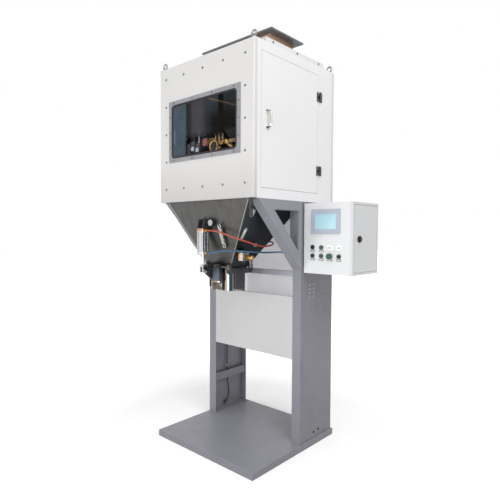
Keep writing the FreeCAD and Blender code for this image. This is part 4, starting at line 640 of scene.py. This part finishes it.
def add_form_tones(made):
    """Adds the tones that follow a piece's own form: painted light and shade on side faces, the hopper's painted
    shade and highlights, the spout's painted reflections, seams and plated parts.
    """
    for blend, table in (("MULTIPLY", PAINTED_LIGHT_AND_SHADE), ("MIX", PATCHES_AND_PAINTED_SHADE)):
        for name, colour, *spans in table:
            recolour(made[name], mask_of(axes_of(made[name].node_tree), *spans), colour, blend)
    paint_hopper_shade_and_highlights(made["hopper_sheet"])
    works = made["works_metal"]
    patch = ramp_of(noise_of(place_of(works.node_tree), 55), 0.4, 0.6)
    brazed = mask_of(axes_of(works.node_tree), ("X", 0.052, 0.054))
    recolour(works, product(brazed, patch), (0.5, 0.42, 0.28))
    spout = made["spout_sheet"]
    side = math_of("ABSOLUTE", axes_of(spout.node_tree)["X"])
    # Painted reflections and a painted highlight on the spout
    for low, high, tone in SPOUT_PAINTED_REFLECTIONS:
        recolour(spout, mask_of({"side": side}, *strip("side", low, high, 0.002)), tone)
    axes = axes_of(made["jaw_black"].node_tree)
    axes["reach"] = math_of("ABSOLUTE", math_of("SUBTRACT", axes["Y"], SPOUT_Y))
    carrier = mask_of(axes, *strip("X", -0.0163, 0.0423, 0.0004), *strip("Z", 1.06, 1.1397, 0.0005),
                      *strip("reach", 0.0855, 0.1115, 0.0004))
    recolour(made["jaw_black"], carrier, (0.07, 0.098, 0.125))


def paint_hopper_shade_and_highlights(sheet):
    """Paints shade on the hopper's flared side walls, a painted shade line and painted highlights along their folds,
    and two painted glints.
    """
    axes = axes_of(sheet.node_tree)
    half = math_of("MULTIPLY_ADD", axes["Z"], HOPPER_FLARE,
                   HOPPER_FOOT_HALF - HOPPER_FLARE * HOPPER_FOOT_Z - HOPPER_FOLD)
    for key, across in (("wall", math_of("ABSOLUTE", axes["X"])), ("left", product(axes["X"], -1)),
                        ("right", axes["X"])):
        axes[key] = math_of("SUBTRACT", across, half)
    wall = ("wall", 0, 0.003)
    # A painted shade line and painted highlights along the folds, painted shade on the side walls, and two painted
    # glints
    for spans, tone in (
            (strip("left", -0.022, -0.019, 0.0008), (0.035, 0.034, 0.032)),
            ((("left", -0.0195, -0.0185),), (0.19, 0.188, 0.205)),
            (strip("right", -0.006, -0.001), (0.27, 0.25, 0.22)),
            ((wall,), (0.044, 0.05, 0.054)),
            ((*strip("Y", -0.3, -0.277, 0.004), *strip("Z", 1.324, 1.38, 0.008), wall), (0.86, 0.86, 0.88)),
            ((*strip("Y", -0.309, -0.28, 0.004), *strip("Z", 1.456, 1.49, 0.008), wall), (0.86, 0.86, 0.88))):
        recolour(sheet, mask_of(axes, *spans), tone)


def make_window_pane():
    """Tinted clear sheet whose colours paint the interior's light and shade seen through it: a pale blue band at its
    left edge, darker to the right, clearer at its foot.
    """
    material, tree, shader = blank_material("window_pane", IOR=1.49, Specular_IOR_Level=0.04)
    axes = axes_of(tree)
    x = axes["X"]
    film = noise_of(place_of(tree), 18, 5, 0.65)
    blue, brown, grey = (0.07, 0.1, 0.125), (0.03, 0.027, 0.027), (0.075, 0.075, 0.084)
    slate, black, dusk = (0.036, 0.046, 0.057), (0.002, 0.002, 0.002), (0.022, 0.029, 0.033)
    # The stops paint the interior's light and shade as seen through the pane
    tint = stops_over(x, -0.28, 0.28, (
        (-0.28, blue), (-0.152, blue), (-0.146, brown), (-0.115, brown), (-0.085, grey), (-0.01, grey),
        (0.03, slate), (0.13, slate), (0.14, black), (0.172, black), (0.182, dusk), (0.28, dusk)))
    # Painted shade at the upper right, a smudged film, and a painted glint near the left edge
    for mask, tone in (
            (mask_of(axes, ("Z", 2.13, 2.02), ("X", 0, 0.1)), (0.007, 0.006, 0.005)),
            (ramp_of(film, 0.45, 0.8, 0, 0.3), (0.012, 0.012, 0.012)),
            (mask_of(axes, *strip("X", -0.268, -0.252, 0.003), *strip("Z", 1.915, 1.998, 0.006)), (0.13, 0.17, 0.2))):
        tint = mix_of(mask, tint, opaque(tone))
    depth = math_of("ADD", ramp_of(x, -0.05, 0.16, 0.66, 0.82), ramp_of(x, -0.155, -0.145, 0.2, 0))
    foot = product(ramp_of(axes["Z"], 1.925, 1.965, 1, 0), ramp_of(x, -0.165, -0.15, 0, 0.62))
    feed(shader, {"Base Color": tint, "Roughness": ramp_of(film, 0.3, 0.8, 0.03, 0.1),
                  "Alpha": math_of("SUBTRACT", depth, foot)})
    return material


def make_screen_face(blue):
    """Lit screen: a soft glow that falls off to its edges and the fine rows of its cells."""
    material, tree, shader = blank_material("screen_face", Roughness=0.25, Emission_Strength=0.33)
    place = place_of(tree)
    glow = ramp_of(noise_of(place, 7, 2, 0.4), 0.3, 0.7)
    cells = add_node(tree, "ShaderNodeTexWave", {"Scale": 420, "Vector": place}, bands_direction="Z")
    tone = mix_of(ramp_of(cells.outputs["Fac"], 0, 1, 0, 0.05),
                  mix_of(glow, opaque(blue), opaque(blue, 0.94)), (0.2, 0.4, 0.5, 1))
    feed(shader, {"Base Color": tone, "Emission Color": tone})
    return material


# Operators, one for each group of pieces

class BAGGER_OT_finishes(bpy.types.Operator):
    """Makes the finishes and gives each CAD node its own finish"""
    bl_idname = "bagger.finishes"
    bl_label = "Finishes"

    def execute(self, context):
        make_finishes(context.scene.bagger_colours)
        return {"FINISHED"}


# Points of the cords in millimetres, as in the CAD source
RED_ROUTE = (
    (12, -362, 1370.4), (64, -362, 1370.4), (115, -363, 1362), (166, -360, 1348), (214, -349, 1331),
    (254, -314, 1315), (268, -264, 1300), (268, -210, 1287), (265, -158, 1278), (262, -106, 1276),
    (257, -54, 1282), (234, -8, 1291), (196, 30, 1298), (151, 62, 1301), (106, 82, 1299),
    (58, 90.8, 1298.9), (12, 90.8, 1298.9))
BLUE_ROUTE = (
    (12, -362, 1232.4), (46, -362, 1232.4), (96, -360, 1246), (150, -349, 1252), (202, -320, 1252),
    (233, -272, 1249), (244, -218, 1245), (245, -163, 1241), (243, -110, 1238), (247, -60, 1237),
    (266, -26, 1239), (296, -10, 1240), (331, -10, 1240))
CABLE_ROUTE = tuple((-393, y, z) for y, z in (
    (207, 690), (207, 636), (208.5, 580), (210, 520), (209.5, 460), (208, 400), (207.5, 340), (210, 285),
    (216, 232), (224, 182), (229, 140), (222, 105), (206, 89)))


def lay_cord(node, slot, look, route, **cord):
    """Lays a round cord in place of its CAD node, its smooth line led by the route's points."""
    curve = bpy.data.curves.new(node + "_line", "CURVE")
    curve.dimensions = "3D"
    curve.resolution_u = 8
    curve.bevel_depth = cord["diameter"] / 2
    curve.bevel_resolution = 5
    curve.use_fill_caps = True
    spline = curve.splines.new("NURBS")
    spline.points.add(len(route) - 1)
    for point, (x, y, z) in zip(spline.points, route):
        point.co = (x / 1000, y / 1000, z / 1000, 1)
    spline.order_u = 3
    spline.use_endpoint_u = True
    curve.materials.append(finish(look))
    piece = bpy.data.objects.new(node + "_line", curve)
    bpy.context.collection.objects.link(piece)
    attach(piece, "machine")
    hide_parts(node)


class BAGGER_OT_cords(bpy.types.Operator):
    """Lays the two air hoses of the clamp and hangs the column cable with its plug"""
    bl_idname = "bagger.cords"
    bl_label = "Hoses and cable"

    def execute(self, context):
        sizes = context.scene.bagger_sizes
        air = {"diameter": sizes.hose_diameter, "far_end": "object", "stiffness": "stiff"}
        lay_cord("red_hose", "red_tube", "red_tube", RED_ROUTE, length=0.833, **air)
        lay_cord("blue_hose", "blue_tube", "blue_tube", BLUE_ROUTE, length=0.575, **air)
        lay_cord("column_cable", "cable_sheath", "cable_rubber", CABLE_ROUTE, length=0.609,
                 diameter=sizes.cable_diameter, far_end="plug", stiffness="limp", with_pieces=["cable_plug"])
        return {"FINISHED"}


class BAGGER_OT_stage(bpy.types.Operator):
    """Sets the floor, the soft studio light and the camera"""
    bl_idname = "bagger.stage"
    bl_label = "Stage"

    def execute(self, context):
        self.lay_floor(context.scene.bagger_sizes.floor_size)
        self.light_studio(context.scene)
        self.set_camera(context.scene)
        context.scene.view_settings.view_transform = "Standard"
        return {"FINISHED"}

    def lay_floor(self, size):
        bpy.ops.mesh.primitive_plane_add(size=size, location=ORIGIN)
        floor = settle("studio_floor")
        material, tree, shader = blank_material(
            "floor_white", Roughness=0.9, Specular_IOR_Level=0.1, Base_Color=(0.86, 0.86, 0.86, 1),
            Emission_Color=WHITE)
        reach = add_node(tree, "ShaderNodeVectorMath", {0: place_of(tree)}, operation="LENGTH")
        lift = ramp_of(reach.outputs["Value"], 1, 2.4, 0.38, 1)
        feed(shader, {"Emission Strength": product(seen_rays(tree), lift)})
        floor.data.materials.append(material)

    def light_studio(self, scene):
        world = bpy.data.worlds.new("studio_world")
        scene.world = world
        world.use_nodes = True
        tree = world.node_tree
        feed(tree.nodes["Background"], {"Color": WHITE, "Strength": ramp_of(seen_rays(tree), 0, 1, 0.46, 1)})
        for name, place, aim, size, power in (
                ("front_softbox", (0.9, -4.9, 1.15), (0, 0, 1.3), 2.6, 74),
                ("left_softbox", (-1.7, -4.3, 1.1), (-0.1, 0.3, 1.1), 1.6, 30),
                ("side_softbox", (3.6, -1.4, 4.4), (0.2, 0, 1.7), 2.8, 112)):
            lamp = bpy.data.lights.new(name, "AREA")
            lamp.shape = "SQUARE"
            lamp.size = size
            lamp.energy = power
            light = bpy.data.objects.new(name, lamp)
            light.location = place
            light.rotation_euler = (Vector(aim) - Vector(place)).to_track_quat("-Z", "Y").to_euler()
            scene.collection.objects.link(light)

    def set_camera(self, scene):
        yaw, down, roll = math.radians(42.2), math.radians(2.23), math.radians(0.28)
        ahead = Vector((-math.sin(yaw) * math.cos(down), math.cos(yaw) * math.cos(down), -math.sin(down)))
        right = Vector((math.cos(yaw), math.sin(yaw), 0))
        turn = Matrix((right, right.cross(ahead), -ahead)).transposed().to_4x4() @ Matrix.Rotation(roll, 4, "Z")
        lens = bpy.data.cameras.new("photo_camera")
        lens.lens = scene.bagger_sizes.lens
        lens.sensor_width = 36
        camera = bpy.data.objects.new("photo_camera", lens)
        camera.matrix_world = Matrix.Translation((2.0574, -2.2391, 1.3623)) @ turn
        scene.collection.objects.link(camera)
        scene.camera = camera


class BAGGER_OT_legend_plates(bpy.types.Operator):
    """Fits a blank legend plate under each push button and the collar round the door lock"""
    bl_idname = "bagger.legend_plates"
    bl_label = "Legend plates"

    def execute(self, context):
        sizes = context.scene.bagger_sizes
        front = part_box("control_box")[0].y
        half, tall, drop, rim = sizes.plate_width / 2, sizes.plate_height, 0.0158, 0.002
        plate = cube("legend_plate", (-half, front - 0.0022, -drop - tall), (half, front + 0.0002, -drop), 0.0006)
        for look in ("plate_white", "button_black"):
            plate.data.materials.append(finish(look))
        inset_faces(plate, FRONT, 0.0018, -0.0004)
        for face in plate.data.polygons:
            across, rise = abs(face.center.x), abs(face.center.z + drop + tall / 2)
            face.material_index = int(across > half - rim or rise > tall / 2 - rim)
        seats = [(x, 0, LOWER_BUTTONS_Z) for x in BUTTON_COLUMNS]
        seats += [(x, 0, UPPER_BUTTONS_Z) for x in BUTTON_COLUMNS[:2]]
        plates = copies_at(plate, seats, "legend_plates")
        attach(plates, "machine")
        middle = (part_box("control_box_door")[1].x + 0.0045, 0.135, 1.3245)
        collar = ring_of("lock_collar", middle, RIGHT, 0.0172, 0.0019)
        stretch(collar, (2.6, 1, 1), middle)
        dress(collar, "button_black", "control_box_door")
        return {"FINISHED"}


def hopper_face(z, out=0):
    """The Y of the hopper's front plate at a height, moved forward by a distance, in metres."""
    return HOPPER_FOOT_Y + (HOPPER_TOP_Y - HOPPER_FOOT_Y) * (z - HOPPER_FOOT_Z) / HOPPER_HEIGHT - out


class BAGGER_OT_spring(bpy.types.Operator):
    """Hangs the tension spring before the hopper, between its two anchor bolts"""
    bl_idname = "bagger.spring"
    bl_label = "Hopper spring"

    def execute(self, context):
        top = Vector((0.099, hopper_face(1.408, 0.02), 1.408))
        foot = Vector((0.108, hopper_face(1.27, 0.018), 1.27))
        dress(coil_piece("hopper_spring", top, foot, 0.0112, 0.0021, 17), "spring_steel")
        anchors = []
        for point, lift in ((top, -0.006), (foot, 0.006)):
            seat = Vector((point.x, hopper_face(point.z), point.z)) + Vector((0, 0.001, lift))
            anchors.append(turned("anchor", seat, (0, -1, 0.296), [
                (-1, 6), (4, 6), (4.5, 3.2), (22.5, 3.2), (22.6, 5.5), (26.2, 5.5), (27, 4.5)], 18))
        dress(joined(anchors, "spring_anchors"), "clamp_black")
        return {"FINISHED"}


class BAGGER_OT_bracket_hardware(bpy.types.Operator):
    """Fits the boss cover and the bolts of the front cylinder bracket"""
    bl_idname = "bagger.bracket_hardware"
    bl_label = "Bracket hardware"

    def execute(self, context):
        z = 1.417
        boss_front = hopper_face(z, 0.003) - 0.022
        dress(turned("boss_cover", (0.0355, boss_front + 0.0062, z), FRONT, [
            (0, 10), (6.2, 10), (6.2, 18.2), (8.5, 18.2), (9.5, 17), (9.5, 8.5), (7.8, 7.8), (7.8, 5.2),
            (11.2, 4.8)], 32), "cell_alloy")
        bolts = [bolt("bracket_bolt", (x, hopper_face(z + rise, 0.0059), z + rise), (0, -1, 0.296), 10, 6.6)
                 for x, rise in ((0.0045, 0.006), (-0.03, 0.01), (-0.042, -0.012), (-0.018, -0.012))]
        dress(joined(bolts, "bracket_bolts"), "spring_steel")
        return {"FINISHED"}


class BAGGER_OT_jaw_fittings(bpy.types.Operator):
    """Fits the blocks, strips, face plates and shaft nuts of the two clamp jaws"""
    bl_idname = "bagger.jaw_fittings"
    bl_label = "Jaw fittings"

    def execute(self, context):
        for jaw, side in (("front_jaw", -1), ("rear_jaw", 1)):
            self.dress_jaw(jaw, side)
        return {"FINISHED"}

    def dress_jaw(self, jaw, side):
        pad, pivot, outward = 0.083, 0.098, (0, side, 0)

        def y_at(reach):
            return SPOUT_Y + side * reach

        for name, x0, x1, thickness, z0, z1, bevel, slot, look in (
                ("_pad_plate", -0.043, 0.043, 0.002, 1.0095, 1.0475, 0.0006, "stainless", "pad_steel"),
                ("_pad_strip", -0.043, -0.002, 0.0055, 1.0485, 1.06, 0.0014, "valve_body", "strip_tan"),
                ("_pad_clip", 0.002, 0.026, 0.0075, 1.05, 1.065, 0.0016, "screw_steel", "spring_steel")):
            y0, y1 = sorted((y_at(pad), y_at(pad + thickness)))
            dress(cube(jaw + name, (x0, y0, z0), (x1, y1, z1), bevel), look, jaw)
        bolts = [bolt("jaw_bolt", (x, y_at(pivot + 0.0129), z), outward, 8, 5)
                 for z in (1.124, 1.078) for x in (-0.006, 0.032)]
        dress(joined(bolts, jaw + "_bolts"), "screw_steel", jaw)
        for name, reach, steps, sides, slot, look in (
                ("_hub_screw", 0.016, [(0, 8.5), (4, 8.5), (5.2, 7.4), (5.2, 4.4), (3.6, 4)], 20, "clamp_paint",
                 "clamp_black"),
                ("_hub_plug", 0.0192, [(0, 3.9), (1.6, 3.9), (2.2, 3)], 16, "brass", "strip_tan")):
            seat = (0.017, y_at(pivot + reach), JAW_PIVOT_Z)
            dress(turned(jaw + name, seat, outward, steps, sides), look, jaw)
        nuts = [bolt("shaft_nut", (way * 0.1172, y_at(pivot), JAW_PIVOT_Z), (way, 0, 0), 19, 4.6) for way in (-1, 1)]
        dress(joined(nuts, jaw + "_shaft_nuts"), "screw_steel", jaw)


class BAGGER_OT_valve_fittings(bpy.types.Operator):
    """Fits the silencer, drain and ports of the air valve and the throttle on the hopper"""
    bl_idname = "bagger.valve_fittings"
    bl_label = "Valve fittings"

    def execute(self, context):
        low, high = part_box("air_valve")
        away = Vector((0.844, 0, -0.537))
        dress(turned("valve_silencer", (high.x - 0.0005, -0.2225, 1.21), RIGHT, [
            (0, 10.5), (6, 10.5), (6.2, 15.5), (15, 15.5), (15.2, 12.5), (19, 12.5), (19.2, 14.2), (27, 14.2),
            (27.2, 12.5), (33, 12.5), (33.2, 14.5), (44, 13.8), (47.5, 10), (48, 5)], 28), "brass")
        dress(turned("valve_drain", (0.235, -0.2225, 1.201), (0.05, 0, -1), [
            (0, 8), (10, 8), (10.2, 10.5), (22, 10.5), (22.2, 7), (34, 7), (34.2, 8.2), (40, 6), (48, 4.8)]),
              "pad_steel")
        dress(turned("hopper_throttle", Vector((0.199, -0.15, 1.289)) - away * 0.001, away, [
            (0, 9.5), (6, 9.5), (6.2, 13.5), (14, 13.5), (15.5, 12), (15.5, 7), (22, 6.6), (23, 5)]),
              "throttle_grey")
        dress(bolt("hopper_stud", (0.3377, -0.317, 1.5067), away, 10, 4.8), "hinge_black")
        port = turned("valve_port", (0, 0, low.z + 0.0005), DOWN, [
            (0, 6.2), (4, 6.2), (4.2, 5.2), (10, 5.2), (10.4, 6.4), (13.5, 6), (13.5, 3.8), (11, 3.4)], 20)
        dress(copies_at(port, [(0.181, -0.234, 0), (0.197, -0.234, 0)], "valve_ports"),
              "valve_plastic")
        return {"FINISHED"}


class BAGGER_OT_column_hardware(bpy.types.Operator):
    """Fits a pale sheet behind the vent holes, whose glow paints the light seen through them, the column screws and
    the cable's relief and clip
    """
    bl_idname = "bagger.column_hardware"
    bl_label = "Column hardware"

    def execute(self, context):
        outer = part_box("right_column")[1].x
        # A pale sheet behind the vent holes, whose glow is painted light seen through them
        sheet = cube("vent_light_sheet", (outer - 0.0062, 0.08, 0.938), (outer - 0.0042, 0.246, 1.05), 0.0006)
        inset_faces(sheet, RIGHT, 0.004, -0.0005)
        dress(sheet, "vent_painted_light")
        head = screw("column_screw", RIGHT, 4.2)
        dress(copies_at(head, [(outer, 0.16, 0.869), (outer, 0.288, 0.87)], "column_screws"),
              "frame_coat")
        foot = bolt("foot_bolt", ORIGIN, RIGHT, 9, 5.5)
        dress(copies_at(foot, [(outer, 0.197, 0.077), (outer, 0.247, 0.083)], "column_foot_bolts"),
              "hinge_black")
        dress(turned("cable_relief", (-0.393, 0.207, 0.692), DOWN, [
            (0, 8.6), (10, 8.4), (11, 7.6), (18, 7.2), (19, 6.4), (27, 6), (28, 5.4), (38, 4.8), (39, 4.3)], 20),
              "cable_rubber")
        middle = (-0.393, 0.2076, 0.352)
        clip = ring_of("cable_clip_ring", middle, UP, 0.0056, 0.0017)
        stretch(clip, (1, 1, 3.2), middle)
        base = cube("cable_clip_base", (-0.4062, 0.2006, 0.346), (-0.3995, 0.2146, 0.358), 0.001)
        dress(joined([clip, base], "cable_clip"), "clip_white")
        return {"FINISHED"}


class BAGGER_OT_cabinet_hardware(bpy.types.Operator):
    """Fits the brace behind the window, the hinge screws and the bolt of the corner tab"""
    bl_idname = "bagger.cabinet_hardware"
    bl_label = "Cabinet hardware"

    def execute(self, context):
        left, right = Vector((-0.405, -0.364, 2.3084)), Vector((0.405, -0.364, 2.0183))
        reach = (right - left).length * 1000
        dress(turned("window_brace", left, right - left, [
            (0, 8.5), (4, 8.5), (4.5, 5), (reach - 4.5, 5), (reach - 4, 8.5), (reach, 8.5)], 16),
              "brace_tan")
        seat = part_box("cabinet_shell")[1].x + 0.004
        for name, body, y in (("hinge_screws", "machine", 0.24), ("door_hinge_screws", "cabinet_door", 0.204)):
            places = [(seat, y, z + way * 0.018) for z in (1.75, 2.212) for way in (-1, 1)]
            dress(copies_at(screw(name, RIGHT, 3.2), places, name), "screw_steel", body)
        dress(bolt("tab_bolt", (0.386, -0.391, 1.5), FRONT, 10, 6), "hinge_black")
        return {"FINISHED"}


class BAGGER_OT_window_works(bpy.types.Operator):
    """Fits the valve coils, plugs, gauge rings and fittings that show at the foot of the window"""
    bl_idname = "bagger.window_works"
    bl_label = "Works behind the window"

    def execute(self, context):
        coil = stepped_block("valve_coil", (-0.0165, -0.386, 1.836), (0.0165, -0.35, 1.9), 0.0045)
        dress(copies_at(coil, [(-0.137, 0, 0), (-0.097, 0, 0.01), (-0.054, 0, -0.006)], "valve_coils"),
              "valve_plastic")
        plug = stepped_block("coil_plug", (-0.0115, -0.3895, 1.854), (0.0115, -0.382, 1.876), 0.003)
        dress(copies_at(plug, [(-0.099, 0, 0.002), (-0.057, 0, -0.008)], "coil_plugs"),
              "bezel_plastic")
        dress(stepped_block("coil_block", (-0.012, -0.386, 1.876), (0.028, -0.348, 1.915), 0.005),
              "works_brown")
        dress(turned("gauge_face", (0.072, -0.356, 1.866), FRONT, [
            (0, 29), (12, 29), (15, 27), (15, 10), (17, 8.5)], 32), "valve_plastic")
        rings = [ring_of("gauge_ring", (0.072, -0.371, 1.866), (0, 1, 0), 0.032, 0.0052),
                 ring_of("gauge_guard", (0.062, -0.364, 1.872), (0.1, 1, 0.3), 0.04, 0.0036)]
        dress(joined(rings, "gauge_rings"), "works_brass")
        steps = [(0, 8.5), (6, 8.5), (6.2, 12), (15, 12), (15.2, 8), (26, 8), (26.2, 9.5), (31, 6)]
        elbows = [turned("works_elbow", start, axis, steps, 20) for start, axis in (
            ((0.138, -0.364, 1.872), (0.6, -0.3, 0.7)), ((0.186, -0.364, 1.868), (-0.4, -0.3, 0.9)),
            ((0.222, -0.366, 1.846), (-0.8, -0.4, 0.5)), ((0.1, -0.364, 1.846), (0.9, -0.2, 0.3)))]
        dress(joined(elbows, "works_elbows"), "works_brass")
        tubes = [turned("works_tube", (x, -0.372, low), UP, [
            (0, 5.5), (8, 5.5), (8.5, 3.6), (tall, 3.6), (tall + 2, 2.4)], 16)
            for x, low, tall in ((-0.056, 1.898, 82), (-0.18, 1.935, 50), (0.214, 1.832, 30))]
        dress(joined(tubes, "works_tubes"), "bezel_plastic")
        return {"FINISHED"}


OPERATORS = (
    BAGGER_OT_finishes, BAGGER_OT_cords, BAGGER_OT_spring, BAGGER_OT_bracket_hardware, BAGGER_OT_jaw_fittings,
    BAGGER_OT_valve_fittings, BAGGER_OT_column_hardware, BAGGER_OT_cabinet_hardware, BAGGER_OT_window_works,
    BAGGER_OT_legend_plates, BAGGER_OT_stage)


class BAGGER_PT_sidebar(bpy.types.Panel):
    """Lists the machine's groups of pieces"""
    bl_idname = "BAGGER_PT_sidebar"
    bl_label = "Weighing Bagging Machine"
    bl_space_type = "VIEW_3D"
    bl_region_type = "UI"
    bl_category = "Bagger"

    def draw(self, context):
        layout = self.layout
        for operator in OPERATORS:
            layout.operator(operator.bl_idname)
        for group in (context.scene.bagger_sizes, context.scene.bagger_colours):
            for key in group.__annotations__:
                layout.prop(group, key)


CLASSES = (MachineColours, MachineSizes) + OPERATORS + (BAGGER_PT_sidebar,)


def register():
    """Registers the classes and hangs the settings on the scene."""
    for entry in CLASSES:
        bpy.utils.register_class(entry)
    bpy.types.Scene.bagger_colours = PointerProperty(type=MachineColours)
    bpy.types.Scene.bagger_sizes = PointerProperty(type=MachineSizes)


def unregister():
    """Takes the settings off the scene and the classes off Blender."""
    del bpy.types.Scene.bagger_sizes
    del bpy.types.Scene.bagger_colours
    for entry in reversed(CLASSES):
        bpy.utils.unregister_class(entry)


def main():
    register()
    for operator in OPERATORS:
        group, call = operator.bl_idname.split(".")
        getattr(getattr(bpy.ops, group), call)()


if __name__ == "__main__":
    main()
